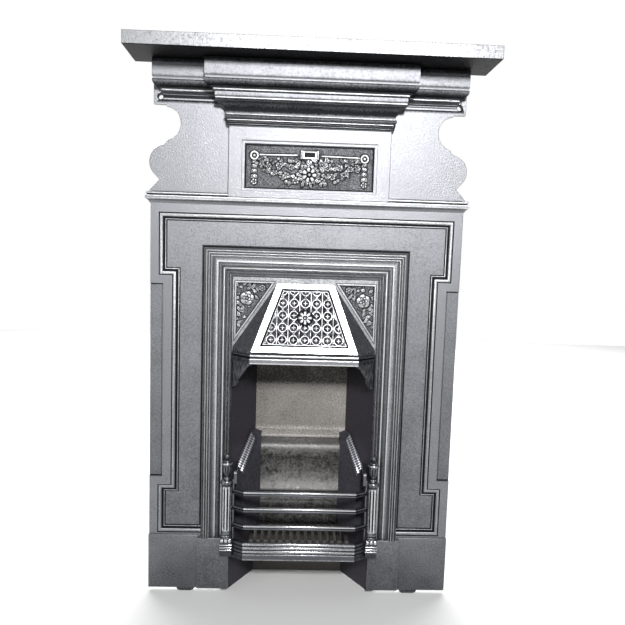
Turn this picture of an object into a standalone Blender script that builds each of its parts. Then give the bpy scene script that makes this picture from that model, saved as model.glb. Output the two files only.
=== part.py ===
"""Cast iron combination fireplace: surround, mantel shelf, canopy hood, fire chamber and front bars.

Run with: blender --background --python part.py
Metres, +Z up. The front faces -Y and +X is to the right. The frame's origin is the middle of the
footprint, on the ground. While the pieces are made, Y = 0 is the face of the front plate;
everything is moved along Y at the end so that the origin lies at the middle of the depth.
"""
import math

import bmesh
import bpy
from mathutils import Matrix, Vector

MM = 0.001
GAP = 0.0003                      # clearance between castings that touch

# Front plate
BODY_WIDTH = 0.760
PLATE_DEPTH = 0.016               # plate face to wall
PLATE_SKIN = 0.008                # metal left in front of the pockets
FOOT_DROP = 0.010                 # plinth bottom above the ground
BODY_TOP = 0.978                  # underside of the string course
OPENING_WIDTH = 0.3576
OPENING_HEIGHT = 0.806            # above the ground

# Sunk field with ears
FIELD_MARGIN = 0.036              # body edge to field, at an ear
FIELD_DEPTH = 0.007
EAR_STEP = 0.0325                 # how far an ear stands out sideways
UPPER_EAR = 0.121
LOWER_EAR = 0.095
FIELD_BOTTOM = 0.170
STRIP_WIDTH = 0.0315              # shallow strips along the body's edges
STRIP_DEPTH = 0.004
STRIP_BOTTOM = 0.302
STRIP_TOP = 0.7855

# Plinth
PLINTH_TOP = 0.1505
INNER_PLINTH_TOP = 0.1445
INNER_PLINTH_WIDTH = 0.079
PLINTH_PROUD = 0.0035
INNER_PLINTH_PROUD = 0.009
FOOT_FROM_EDGE = 0.0925
FOOT_HALF = 0.0225

# Bolection moulding round the opening
BOLECTION_WIDTH = 0.0757
BOLECTION_SEAT = 0.062            # how far the plate stays clear of the opening behind it

# Upper plate
SHELF_BOTTOM = 1.307
SCOOP_RADIUS = 0.040
LOBE_RADIUS = 0.0415
LUG_WIDTH = 0.029
SCOOP_RISE = 0.188                # centre of the upper scoop above the string course's underside
SCOOP_INSET = 0.031               # the same centre inside the body's edge
LOBE_RISE = 0.0965
LOBE_INSET = 0.0385
NOTCH_RISE = 0.1379               # small notch between lobe and scoop
NOTCH_INSET = 0.0324
SHOULDER_RISE = 0.0548            # end of the short slope above the string course
SHOULDER_INSET = 0.0205
SHOULDER_FOOT_RISE = 0.0285
LUG_INSET = 0.007                 # body edge to lug side
LUG_RISE = 0.2308
LUG_HOLE_RISE = 0.248
LUG_HOLE_RADIUS = 0.006
LUG_DRAFT = 0.0004                # slope of a lug's underside

# Frieze block and cornice
FRIEZE_WIDTH = 0.388
FRIEZE_PROUD = 0.0105
PANEL_WIDTH = 0.307
PANEL_HEIGHT = 0.1016
PANEL_BOTTOM = 1.0208
PANEL_DEPTH = 0.0095
BREAK_WIDTH = 0.435               # bed line of the cornice's centre break
BREAK_PROUD = 0.0315
CORNICE_LENGTH = 0.684            # bed line between the cornice's ends
CORNICE_HEIGHT = 0.110            # top of the cornice to the top of the frieze block

# Festoon in the frieze panel
SWAG_LUMPS = 15
SWAG_END_INSET = 0.0215           # panel edge to the rings
SWAG_RING_RISE = 0.026            # rings above the panel's middle
SWAG_RING_RADIUS = 0.0125
SWAG_SAG = 0.058
SWAG_ROSE_RADIUS = 0.0215
SWAG_ROSE_DROP = 0.010            # rose below the panel's middle
TABLET_WIDTH = 0.043
TABLET_HEIGHT = 0.021
TABLET_RISE = 0.019               # tablet's foot above the panel's middle

# Mantel shelf
SHELF_WIDTH = 0.840
SHELF_DEPTH = 0.142
SHELF_THICKNESS = 0.0295
SHELF_WALL = 0.006
SHELF_HOLE_RADIUS = 0.0025
SHELF_HOLE_INSET = 0.020
SHELF_HOLE_SETBACK = 0.0625

# Canopy hood
HOOD_TOP_WIDTH = 0.140
HOOD_LIP_WIDTH = 0.260
HOOD_WALL = 0.006
HOOD_TOP = OPENING_HEIGHT - 0.0135
HOOD_SLOPE_HEIGHT = 0.1655
HOOD_LIP_HEIGHT = 0.030
HOOD_DROP = 0.0635                # side drops below the lip
HOOD_BREAK = HOOD_TOP - HOOD_SLOPE_HEIGHT             # where the slope meets the upright lip
HOOD_LIP_BOTTOM = HOOD_BREAK - HOOD_LIP_HEIGHT
HOOD_DROP_BOTTOM = HOOD_LIP_BOTTOM - HOOD_DROP
HOOD_PROJECTION = 0.040           # lip in front of the plate face
HOOD_TOP_SETBACK = 0.0055         # top edge behind the plate face
HOOD_PANEL_FOOT_WIDTH = 0.217
HOOD_PANEL_HEAD_WIDTH = 0.116
HOOD_PANEL_FOOT = 0.0150          # panel's foot up the slope
HOOD_PANEL_HEAD_MARGIN = 0.0125
HOOD_PANEL_DEPTH = 0.0026
HOOD_ROWS = 4                     # rows of bosses in the diaper panel
HOOD_FIRST_ROW = 0.0175
HOOD_ROW_PITCH = 0.0305
HOOD_COLUMN_PITCH = 0.0276
HOOD_BOSS_RADIUS = 0.0085
HOOD_ROSE_RADIUS = 0.021
SPANDREL_FOOT = HOOD_BREAK + 0.005
SPANDREL_SETBACK = 0.0108
SPANDREL_WELL_DEPTH = 0.0018
SPANDREL_BORDER = 0.0085
SPANDREL_BAND = 0.013             # slanting band between the well and the hood

# Fire chamber
CHAMBER_DEPTH = 0.129             # plate face to back plate
CHAMBER_BACK_WIDTH = 0.241
CHAMBER_TOP = OPENING_HEIGHT - 0.006
CHAMBER_WALL = 0.006
CHEEK_FLANGE = 0.020
GRATE_TOP = 0.150
LEDGE_TOP = 0.399                 # sloped ledge over the fireback
LEDGE_REACH = 0.0215
REST_WIDTH = 0.190                # bracket under the back of the grate
REST_REACH = 0.030

# Fireback and side bricks
BRICK_WIDTH = 0.208
BRICK_TOP = 0.3812
BRICK_DEPTH = 0.0525
SIDE_BRICK_TOP = 0.3985
SIDE_BRICK_LOW = 0.3003           # front end of the sloping top
SIDE_BRICK_FRONT = 0.0340         # front corner behind the plate face
SIDE_BRICK_FRONT_WIDTH = 0.294    # between the front corners of both bricks
SIDE_BRICK_SHOULDER = 0.0655      # end of the slope behind the plate face
SIDE_BRICK_SHOULDER_WIDTH = 0.234
KNURL_COUNT = 11
KNURL_WIDTH = 0.0042
KNURL_HEIGHT = 0.0022

# Front bars
BARS_FRONT_WIDTH = 0.280
BARS_PROJECTION = 0.036
BAR_HEIGHT = 0.0115
BAR_THICKNESS = 0.008
TOP_BAR_LEVEL = 0.2705
MIDDLE_BAR_LEVEL = 0.2285
LOW_BAR_LEVEL = 0.1835
RAIL_TOP = 0.1455
RAIL_BOTTOM = 0.099
POST_SPACING = 0.368              # post axis to post axis
POST_AXIS_PROJECTION = 0.0125
POST_RADIUS = 0.0122
POST_FOOT = 0.104
POST_TOP = 0.367
POST_FLUTES = 10
FLUTE_DEPTH = 0.0018
BLOCK_MARGIN = 0.0022             # square block beyond the shaft
LINK_INSET = 0.0165               # link beside the post's axis
LINK_WIDTH = 0.0044
LINK_TOP = 0.302
LUG_STRIP_INSET = 0.0210          # scrolled lug beside the post's axis
LUG_STRIP_WIDTH = 0.007
REST_INSET = 0.022                # rest behind the rail, short of the canted ends
REST_FRONT = 0.006                # behind the rail's face
REST_DEPTH = 0.016
REST_DROP = 0.0100                # below the fingers
REST_THICKNESS = 0.0055

# Bottom grate
FINGER_COUNT = 14
FINGER_PITCH = 0.0186
FINGER_WIDTH = 0.0095
FINGER_HEIGHT = 0.012
FINGER_SPLAY = 1.6                # outer fingers stop this much shorter for each metre outwards
GRATE_PLAY = 0.001                # behind the rail
GRATE_REAR_PLAY = 0.004
CROSS_BAR_WIDTH = 0.010
CROSS_BAR_HEIGHT = 0.010
CROSS_BAR_DROP = 0.004            # below the fingers
TAIL_BAR_INSET = 0.016            # short of the fingers' ends
TAIL_BAR_PLAY = 0.004

PARTS_NAME = "combination_fireplace"
HALF = BODY_WIDTH / 2
OPEN_HALF = OPENING_WIDTH / 2
SHELF_FRONT = PLATE_DEPTH - SHELF_DEPTH
CHAMBER_REAR = CHAMBER_DEPTH + CHAMBER_WALL
Y_MIDDLE = (SHELF_FRONT + CHAMBER_REAR) / 2
CORNICE_TOP = SHELF_BOTTOM - GAP


def clear_scene():
    for item in list(bpy.data.objects):
        bpy.data.objects.remove(item, do_unlink=True)


def new_collection(name):
    group = bpy.data.collections.new(name)
    bpy.context.scene.collection.children.link(group)
    return group


clear_scene()
PARTS = new_collection(PARTS_NAME)
CUTTERS = new_collection("cutters")


def iron(name, colour, roughness, metallic=0.85):
    """One Principled material."""
    made = bpy.data.materials.new(name)
    made.use_nodes = True
    shader = made.node_tree.nodes["Principled BSDF"]
    shader.inputs["Base Color"].default_value = (*colour, 1.0)
    shader.inputs["Roughness"].default_value = roughness
    shader.inputs["Metallic"].default_value = metallic
    made.diffuse_color = (*colour, 1.0)
    return made


def as_part(item, name, material):
    """Make a built object a named piece."""
    item.name = name
    item.data.name = name
    item.data.materials.clear()
    item.data.materials.append(material)
    for group in list(item.users_collection):
        group.objects.unlink(item)
    PARTS.objects.link(item)
    return item


def as_cutter(item):
    item.hide_render = True
    item.display_type = 'WIRE'
    return item


def face_outwards(bm):
    bmesh.ops.recalc_face_normals(bm, faces=bm.faces[:])
    if bm.calc_volume(signed=True) < 0:
        bmesh.ops.reverse_faces(bm, faces=bm.faces[:])


def mesh_object(name, maker):
    """Mesh object from a bmesh that maker(bm) fills, with its faces turned outwards."""
    bm = bmesh.new()
    maker(bm)
    face_outwards(bm)
    data = bpy.data.meshes.new(name)
    bm.to_mesh(data)
    bm.free()
    item = bpy.data.objects.new(name, data)
    CUTTERS.objects.link(item)
    return item


def round_shading(item):
    """Smooth shading that stays sharp at real edges."""
    item.data.shade_smooth()
    item.data.set_sharp_from_angle(angle=math.radians(35.0))
    return item


def box(name, low, high):
    """Box between two corners."""
    low = Vector(low)
    high = Vector(high)
    size = high - low

    def maker(bm):
        bmesh.ops.create_cube(bm, size=1.0)
        bmesh.ops.scale(bm, vec=size, verts=bm.verts[:])
        bmesh.ops.translate(bm, vec=(low + high) / 2, verts=bm.verts[:])
    return mesh_object(name, maker)


def curve_to_mesh(item):
    """Replace a curve or a modified object by its welded mesh, in place."""
    bpy.context.view_layer.update()
    graph = bpy.context.evaluated_depsgraph_get()
    data = bpy.data.meshes.new_from_object(item.evaluated_get(graph))
    bm = bmesh.new()
    bm.from_mesh(data)
    bmesh.ops.remove_doubles(bm, verts=bm.verts[:], dist=1e-5)
    bmesh.ops.dissolve_limit(bm, angle_limit=0.001, verts=bm.verts[:], edges=bm.edges[:])
    bm.transform(item.matrix_world)
    face_outwards(bm)
    bm.to_mesh(data)
    bm.free()
    made = bpy.data.objects.new(item.name, data)
    CUTTERS.objects.link(made)
    bpy.data.objects.remove(item, do_unlink=True)
    return made


def flat_piece(name, outline, thickness, frame):
    """Flat outline with a thickness: a filled 2D curve, set in the plane that frame gives."""
    data = bpy.data.curves.new(name, 'CURVE')
    data.dimensions = '2D'
    data.fill_mode = 'BOTH'
    data.extrude = thickness / 2
    line = data.splines.new('POLY')
    line.points.add(len(outline) - 1)
    for point, (a, b) in zip(line.points, outline):
        point.co = (a, b, 0.0, 1.0)
    line.use_cyclic_u = True
    item = bpy.data.objects.new(name, data)
    CUTTERS.objects.link(item)
    item.matrix_world = frame
    return curve_to_mesh(item)


def upright(name, outline, y_front, y_back):
    """Outline in X and Z, carried from y_front back to y_back."""
    frame = Matrix.Translation((0, (y_front + y_back) / 2, 0)) @ Matrix.Rotation(math.pi / 2, 4, 'X')
    return flat_piece(name, outline, y_back - y_front, frame)


def lengthwise(name, outline, x_left, x_right):
    """Outline in Y and Z, carried from x_left to x_right."""
    turn = Matrix(((0, 0, 1, 0), (1, 0, 0, 0), (0, 1, 0, 0), (0, 0, 0, 1)))
    frame = Matrix.Translation(((x_left + x_right) / 2, 0, 0)) @ turn
    return flat_piece(name, outline, x_right - x_left, frame)


def level(name, outline, z_low, z_high):
    """Outline in X and Y, carried from z_low up to z_high."""
    return flat_piece(name, outline, z_high - z_low, Matrix.Translation((0, 0, (z_low + z_high) / 2)))


def arc(centre, radius, start, end, steps, radius_b=None):
    """Points on an arc or, with radius_b, on an ellipse; angles in degrees."""
    radius_b = radius if radius_b is None else radius_b
    points = []
    for k in range(steps + 1):
        angle = math.radians(start + (end - start) * k / steps)
        points.append((centre[0] + radius * math.cos(angle), centre[1] + radius_b * math.sin(angle)))
    return points


def mirrored(right_side):
    """Closed outline from its right half, given from bottom to top."""
    return list(right_side) + [(-a, b) for a, b in reversed(right_side)]


def mitre_directions(path, closed):
    """Offset direction at each corner of a 2D path, to the right of its run."""
    count = len(path)
    normals = []
    for k in range(count if closed else count - 1):
        a = Vector(path[k])
        b = Vector(path[(k + 1) % count])
        run = (b - a).normalized()
        normals.append(Vector((run.y, -run.x)))
    made = []
    for k in range(count):
        if not closed and k == 0:
            made.append(normals[0])
        elif not closed and k == count - 1:
            made.append(normals[-1])
        else:
            before = normals[k - 1]
            after = normals[k % len(normals)]
            made.append((before + after) / (1 + before.dot(after)))
    return made


def moulding(name, path, profile, place):
    """Mitred moulding: a closed profile of (offset, height) carried along an open 2D path.

    place(a, b, height) gives the 3D point; the offset moves it to the right of the path's run.
    """
    directions = mitre_directions(path, False)

    def maker(bm):
        rings = []
        for corner, direction in zip(path, directions):
            ring = []
            for offset, height in profile:
                spot = Vector(corner) + direction * offset
                ring.append(bm.verts.new(place(spot.x, spot.y, height)))
            rings.append(ring)
        count = len(profile)
        for first, second in zip(rings, rings[1:]):
            for k in range(count):
                n = (k + 1) % count
                bm.faces.new((first[k], first[n], second[n], second[k]))
        bm.faces.new(rings[0])
        bm.faces.new(rings[-1])
    return mesh_object(name, maker)


def stepped_well(name, outline, layers):
    """Cutter whose upright outline grows with each (offset, y) layer, for a panel with moulded edges."""
    directions = mitre_directions(outline, True)

    def maker(bm):
        rings = []
        for offset, y in layers:
            ring = []
            for corner, direction in zip(outline, directions):
                spot = Vector(corner) + direction * offset
                ring.append(bm.verts.new((spot.x, y, spot.y)))
            rings.append(ring)
        count = len(outline)
        for first, second in zip(rings, rings[1:]):
            for k in range(count):
                n = (k + 1) % count
                bm.faces.new((first[k], first[n], second[n], second[k]))
        bm.faces.new(rings[0])
        bm.faces.new(rings[-1])
    return mesh_object(name, maker)


def facing(a, b, height):
    """Path in X and Z on the front; height is Y."""
    return (a, height, b)


def plan(a, b, height):
    """Path in X and Y; height is Z."""
    return (a, b, height)


def turned(name, profile, centre, steps):
    """Solid of revolution about a vertical axis, from (radius, height) points listed top to bottom."""
    data = bpy.data.meshes.new(name)
    data.from_pydata([(r, 0.0, z) for r, z in profile], [(k, k + 1) for k in range(len(profile) - 1)], [])
    item = bpy.data.objects.new(name, data)
    CUTTERS.objects.link(item)
    item.location = centre
    item.rotation_euler.z = math.radians(4.0)
    screw = item.modifiers.new("turn", 'SCREW')
    screw.axis = 'Z'
    screw.steps = steps
    screw.render_steps = steps
    screw.use_merge_vertices = True
    screw.merge_threshold = 0.00001
    return round_shading(curve_to_mesh(item))


def join_meshes(name, items):
    """One mesh object out of several that don't touch each other."""
    bm = bmesh.new()
    for item in items:
        bm.from_mesh(item.data)
        bpy.data.objects.remove(item, do_unlink=True)
    data = bpy.data.meshes.new(name)
    bm.to_mesh(data)
    bm.free()
    made = bpy.data.objects.new(name, data)
    CUTTERS.objects.link(made)
    return made


def combine(target, tool, operation):
    """Boolean of target with tool."""
    step = target.modifiers.new(operation.lower(), 'BOOLEAN')
    step.object = as_cutter(tool)
    step.operation = operation
    step.solver = 'EXACT'


def add(target, *tools):
    for tool in tools:
        combine(target, tool, 'UNION')


def cut(target, *tools):
    for tool in tools:
        combine(target, tool, 'DIFFERENCE')


def lump(name, centre, size, spin=7.0):
    """Low rounded knob: a squashed sphere with its pole to the front, spun by some degrees."""
    turn = Matrix.Rotation(math.radians(spin), 4, 'Y') @ Matrix.Rotation(math.pi / 2, 4, 'X')
    matrix = Matrix.Translation(centre) @ Matrix.Diagonal((*size, 1)) @ turn

    def maker(bm):
        bmesh.ops.create_uvsphere(bm, u_segments=7, v_segments=5, radius=1.0)
        bmesh.ops.transform(bm, matrix=matrix, verts=bm.verts[:])
    return round_shading(mesh_object(name, maker))


def flower(name, centre, radius, height, petals):
    """Flower outline with round petals, as a raised flat piece facing the front, with its eye."""
    x, y, z = centre
    points = []
    steps = petals * 4
    for k in range(steps):
        angle = 2 * math.pi * k / steps
        reach = radius * (0.82 + 0.18 * math.cos(petals * angle))
        points.append((x + reach * math.sin(angle), z + reach * math.cos(angle)))
    return upright(name, points, y - height, y + 0.001)


# Surround casting

def plate_edge(inset):
    """Right edge of the upper plate, from the string course to the lug, moved inwards by inset."""
    scoop = (HALF - SCOOP_INSET, BODY_TOP + SCOOP_RISE)
    lobe = (HALF - LOBE_INSET, BODY_TOP + LOBE_RISE)
    points = [(HALF + 0.004 - inset, BODY_TOP + SHOULDER_FOOT_RISE),
              (HALF - SHOULDER_INSET - inset, BODY_TOP + SHOULDER_RISE)]
    points += arc(lobe, LOBE_RADIUS - inset, -42.6, 68.6, 9)
    points += [(HALF - NOTCH_INSET - inset, BODY_TOP + NOTCH_RISE)]
    points += arc(scoop, SCOOP_RADIUS + inset, 254.7, 97.2, 12)
    return points


def plate_outline():
    lug_low = BODY_TOP + LUG_RISE
    lug_side = HALF - LUG_INSET
    inner = OPEN_HALF + BOLECTION_SEAT
    right = [(inner, FOOT_DROP + 0.0005), (HALF, FOOT_DROP + 0.0005), (HALF, BODY_TOP + 0.022)]
    right += plate_edge(0.0)
    right += [(lug_side - LUG_WIDTH, lug_low), (lug_side, lug_low + LUG_DRAFT), (lug_side, CORNICE_TOP)]
    outline = list(right) + [(-a, b) for a, b in reversed(right)]
    return outline + [(-inner, OPENING_HEIGHT + BOLECTION_SEAT), (inner, OPENING_HEIGHT + BOLECTION_SEAT)]


def upper_pocket():
    """Hollow behind the upper plate."""
    wall = PLATE_SKIN
    side = HALF - LUG_INSET - LUG_WIDTH - wall
    low = (HALF - wall - 0.002, BODY_TOP + SHOULDER_FOOT_RISE)
    right = [low] + plate_edge(wall)[1:] + [(side, CORNICE_TOP - wall)]
    return upright("upper_pocket", mirrored(right), PLATE_SKIN, PLATE_DEPTH + 0.004)


def field_outline():
    ear = HALF - FIELD_MARGIN
    waist = ear - EAR_STEP
    top = BODY_TOP - FIELD_MARGIN
    right = [(ear, FIELD_BOTTOM), (ear, FIELD_BOTTOM + LOWER_EAR), (waist, FIELD_BOTTOM + LOWER_EAR),
             (waist, top - UPPER_EAR), (ear, top - UPPER_EAR), (ear, top)]
    return mirrored(right)


def sunk_field():
    """Well of the eared field, with its moulded edge."""
    edge = ((12.5, -5.0), (12.5, 1.2), (10.4, 1.3), (9.6, 2.4), (7.4, 2.8), (5.0, 3.6), (3.2, 4.9),
            (2.4, 6.0), (1.0, 6.2), (0.0, FIELD_DEPTH / MM))
    return stepped_well("sunk_field", field_outline(), [(a * MM, y * MM) for a, y in edge])


def bolection_profile():
    """Front contour from the opening outwards, then the back. Offsets and depths in mm."""
    points = [(0.0, 15.2), (0.0, 12.5)]
    for k in range(3):
        left = 0.4 + 6.6 * k
        rise = 2.6 * k
        points += [(left, 10.6 - rise), (left + 1.6, 8.9 - rise), (left + 4.0, 8.9 - rise)]
        points += [(left + 5.6, 10.4 - rise)]
    points += [(20.4, 9.0), (23.2, 9.0)]
    points += [(30.0 - 6.2 * math.cos(math.radians(a)), 4.4 - 7.4 * math.sin(math.radians(a)))
               for a in range(0, 181, 30)]
    points += [(37.0 + 13.0 * math.sin(math.radians(a)), -8.5 + 13.0 * math.cos(math.radians(a)))
               for a in (5, 27, 49, 71, 88)]
    for k in range(3):
        left = 51.2 + 6.0 * k
        points += [(left, -8.0), (left + 1.2, -10.0), (left + 4.2, -10.0), (left + 5.4, -8.0)]
    points += [(70.0, -6.4), (70.6, 5.4), (72.6, 6.4), (73.2, 4.6), (75.2, 4.6),
               (BOLECTION_WIDTH / MM, 6.2), (BOLECTION_WIDTH / MM, 12.0), (60.0, 15.2)]
    return [(d * MM, y * MM) for d, y in points]


def bolection():
    low = INNER_PLINTH_TOP - 0.001
    path = [(OPEN_HALF, low), (OPEN_HALF, OPENING_HEIGHT), (-OPEN_HALF, OPENING_HEIGHT), (-OPEN_HALF, low)]
    return moulding("bolection", path, bolection_profile(), facing)


def string_course():
    profile = ((-4.0, -0.5), (0.4, -0.5), (1.6, 2.0), (4.0, 5.6), (7.6, 8.4), (9.4, 9.0), (11.0, 10.0),
               (11.0, 18.0), (9.4, 18.8), (6.6, 19.2), (6.6, 21.0), (8.6, 21.6), (9.6, 24.0), (8.4, 26.6),
               (4.0, 28.4), (-4.0, 28.6))
    path = [(-HALF, 0.012), (-HALF, 0.0), (HALF, 0.0), (HALF, 0.012)]
    return moulding("string_course", path, [(p * MM, BODY_TOP + z * MM) for p, z in profile], plan)


def cornice_upper_profile():
    """Fascia, ovolo and two fillets as (projection, drop below the top) in mm."""
    points = [(-4.0, 0.6), (30.0, 0.6), (30.0, 40.6), (28.2, 42.6), (28.2, 46.2), (29.8, 47.6)]
    points += [(19.6 + 10.2 * math.cos(math.radians(a)), 48.6 + 12.4 * math.sin(math.radians(a)))
               for a in (15, 35, 55, 75, 90)]
    points += [(14.0, 61.2), (14.0, 62.6), (17.0, 62.6), (17.0, 65.2), (10.5, 65.2), (10.5, 68.2),
               (12.6, 68.2), (12.6, 72.0), (5.0, 73.4), (0.0, 75.0), (-4.0, 75.0)]
    return [(p * MM, CORNICE_TOP - d * MM) for p, d in points]


def cornice_lower_profile():
    """Band, cavetto, bead and three thin fillets under the centre break, in mm."""
    points = [(-3.0, 58.0), (24.0, 58.0), (31.0, 66.5), (31.0, 82.5), (29.4, 84.0), (29.4, 86.0),
              (31.0, 87.4), (30.2, 90.4), (27.2, 92.6)]
    points += [(26.6 - 19.6 * math.sin(math.radians(a)), 116.5 - 23.5 * math.cos(math.radians(a)))
               for a in (8, 28, 48, 68, 88)]
    points += [(8.8, 118.4), (10.2, 122.6), (8.8, 127.0), (3.0, 129.0), (3.0, 130.6)]
    for k in range(3):
        drop = 130.6 + 4.6 * k
        reach = 7.4 - 1.0 * k
        points += [(reach, drop + 0.2), (reach, drop + 3.2), (2.0, drop + 3.4), (2.0, drop + 4.5)]
    points += [(0.6, 144.6), (-3.0, 145.0)]
    return [(p * MM, CORNICE_TOP - d * MM) for p, d in points]


def cornice():
    """Upper cornice along the whole plate with its centre break, and the extra mouldings below it."""
    end = CORNICE_LENGTH / 2
    bed = BREAK_WIDTH / 2
    path = [(-end, 0.012), (-end, 0.0), (-bed, 0.0), (-bed, -BREAK_PROUD),
            (bed, -BREAK_PROUD), (bed, 0.0), (end, 0.0), (end, 0.012)]
    upper = moulding("cornice_upper", path, cornice_upper_profile(), plan)
    half = FRIEZE_WIDTH / 2
    short = [(-half, 0.005), (-half, -FRIEZE_PROUD), (half, -FRIEZE_PROUD), (half, 0.005)]
    lower = moulding("cornice_lower", short, cornice_lower_profile(), plan)
    core = box("cornice_core", (-bed - 0.002, -BREAK_PROUD - 0.003, CORNICE_TOP - 0.070),
               (bed + 0.002, 0.005, CORNICE_TOP - 0.001))
    return upper, core, lower


def cornice_hollows():
    """Hollow behind the cornice, open at the back."""
    top = CORNICE_TOP - PLATE_SKIN
    bed = BREAK_WIDTH / 2
    side = CORNICE_LENGTH / 2 - PLATE_SKIN
    front = -BREAK_PROUD - 0.022
    rear = PLATE_DEPTH + 0.005
    upper = [(rear, top), (front, top), (front, top - 0.034), (front + 0.0035, top - 0.042),
             (front + 0.0145, top - 0.051), (rear, top - 0.051)]
    lower = [(rear, top - 0.046), (front + 0.021, top - 0.046), (front + 0.021, top - 0.079),
             (front + 0.0445, top - 0.098), (front + 0.050, top - 0.110), (rear, top - 0.110)]
    reach = FRIEZE_WIDTH / 2 - 0.006
    return (lengthwise("break_hollow", upper, -bed - 0.020, bed + 0.020),
            lengthwise("cavetto_hollow", lower, -reach, reach),
            box("side_hollow", (-side, -0.022, top - 0.036), (side, rear - 0.001, top - 0.0005)))


def frieze():
    half = FRIEZE_WIDTH / 2
    return box("frieze_block", (-half, -FRIEZE_PROUD, BODY_TOP + 0.014),
               (half, 0.003, CORNICE_TOP - CORNICE_HEIGHT))


def panel_outline(width, low, height):
    return [(width / 2, low), (width / 2, low + height), (-width / 2, low + height), (-width / 2, low)]


def frieze_panel():
    """Sunk panel of the frieze: a thin outer step, a flat band and the deep well."""
    face = -FRIEZE_PROUD
    layers = ((8.6, face - 0.004), (8.6, face + 0.0014), (1.6, face + 0.0016),
              (0.4, face + PANEL_DEPTH - 0.001), (0.0, face + PANEL_DEPTH))
    outline = panel_outline(PANEL_WIDTH, PANEL_BOTTOM, PANEL_HEIGHT)
    return stepped_well("frieze_panel", outline, [(a * MM, y) for a, y in layers])


def festoon():
    """Swag with a centre rose, knotted rings, hanging ends and a small tablet above."""
    ground = -FRIEZE_PROUD + PANEL_DEPTH
    middle = PANEL_BOTTOM + PANEL_HEIGHT / 2
    span = PANEL_WIDTH / 2 - SWAG_END_INSET
    ring_z = middle + SWAG_RING_RISE
    sag = SWAG_SAG
    rose_z = middle - SWAG_ROSE_DROP
    pieces = []
    count = SWAG_LUMPS
    for k in range(count):
        share = -1 + 2 * k / (count - 1)
        x = span * share
        z = ring_z - sag * (1 - share * share)
        fat = 0.0075 + 0.0105 * (1 - abs(share)) ** 0.6
        size = (0.0135, 0.0045 + 0.0015 * (1 - abs(share)), fat)
        pieces.append(lump("swag", (x, ground, z), size, 5.0 + 13.0 * (k % 3)))
    pieces.append(flower("swag_rose", (0, ground, rose_z), SWAG_ROSE_RADIUS, 0.0075, 6))
    pieces.append(lump("swag_rose_eye", (0, ground - 0.0068, rose_z), (0.009, 0.003, 0.009)))
    for side in (-1, 1):
        x = side * span
        ring = arc((x, ring_z), SWAG_RING_RADIUS, 0, 330, 11)
        pieces.append(upright("swag_ring", ring, ground - 0.005, ground + 0.001))
        tail = []
        for drop, wide in ((0.012, 0.003), (0.016, 0.0055), (0.026, 0.003), (0.031, 0.0075), (0.040, 0.0035),
                           (0.046, 0.0095), (0.055, 0.0045), (0.061, 0.0110), (0.068, 0.0015)):
            tail.append((x + wide, ring_z - drop))
        tail += [(2 * x - a, b) for a, b in reversed(tail)]
        pieces.append(upright("swag_tail", tail, ground - 0.0042, ground + 0.001))
        for share, size in ((0.30, 0.0105), (0.58, 0.0095), (0.76, 0.0075)):
            z = ring_z - sag * (1 - share * share)
            pieces.append(flower("swag_flower", (side * span * share, ground, z), size, 0.0070, 5))
    tablet_low = middle + TABLET_RISE
    pieces.append(box("tablet", (-TABLET_WIDTH / 2, ground - 0.0055, tablet_low),
                      (TABLET_WIDTH / 2, ground + 0.001, tablet_low + TABLET_HEIGHT)))
    pieces.append(box("ribbon", (-span, ground - 0.0028, ring_z - 0.0035),
                      (span, ground + 0.001, ring_z + 0.0035)))
    pieces.append(box("tablet_stem", (-0.0045, ground - 0.0035, rose_z),
                      (0.0045, ground + 0.001, tablet_low + 0.001)))
    return pieces


def plinth():
    """Plinth blocks and foot tabs of both sides, as pairs."""
    pieces = []
    base = FOOT_DROP
    for side in (-1, 1):
        outer = sorted((side * (OPEN_HALF + INNER_PLINTH_WIDTH - 0.002), side * (HALF + 0.0012)))
        inner = sorted((side * (OPEN_HALF - 0.0004), side * (OPEN_HALF + INNER_PLINTH_WIDTH)))
        pieces.append(box("plinth_outer", (outer[0], -PLINTH_PROUD, base), (outer[1], 0.012, PLINTH_TOP)))
        pieces.append(box("plinth_inner", (inner[0], -INNER_PLINTH_PROUD, base + 0.0002),
                          (inner[1], 0.0125, INNER_PLINTH_TOP)))
        x = side * (HALF - FOOT_FROM_EDGE)
        tab = [(x + FOOT_HALF, base + 0.003), (x - FOOT_HALF, base + 0.003), (x - FOOT_HALF, 0.007),
               (x - FOOT_HALF * 0.86, 0.0025), (x - FOOT_HALF * 0.60, 0.0), (x + FOOT_HALF * 0.60, 0.0),
               (x + FOOT_HALF * 0.86, 0.0025), (x + FOOT_HALF, 0.007)]
        pieces.append(upright("foot_tab", tab, 0.0012, 0.0122))
    return pieces


def spandrel():
    """Plate behind the hood that fills the opening's top corners, with its trapezoid way through."""
    reach = OPEN_HALF + 0.0027
    top = OPENING_HEIGHT + 0.0055
    way_top = HOOD_TOP + 0.0005
    right = [(reach, SPANDREL_FOOT - 0.0105), (reach, top)]
    outline = list(right) + [(-a, b) for a, b in reversed(right)]
    outline += [(-OPEN_HALF + 0.0005, SPANDREL_FOOT), (-HOOD_TOP_WIDTH / 2, way_top),
                (HOOD_TOP_WIDTH / 2, way_top), (OPEN_HALF - 0.0005, SPANDREL_FOOT)]
    return upright("spandrel_plate", outline, SPANDREL_SETBACK, PLATE_DEPTH - 0.0004)


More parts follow.
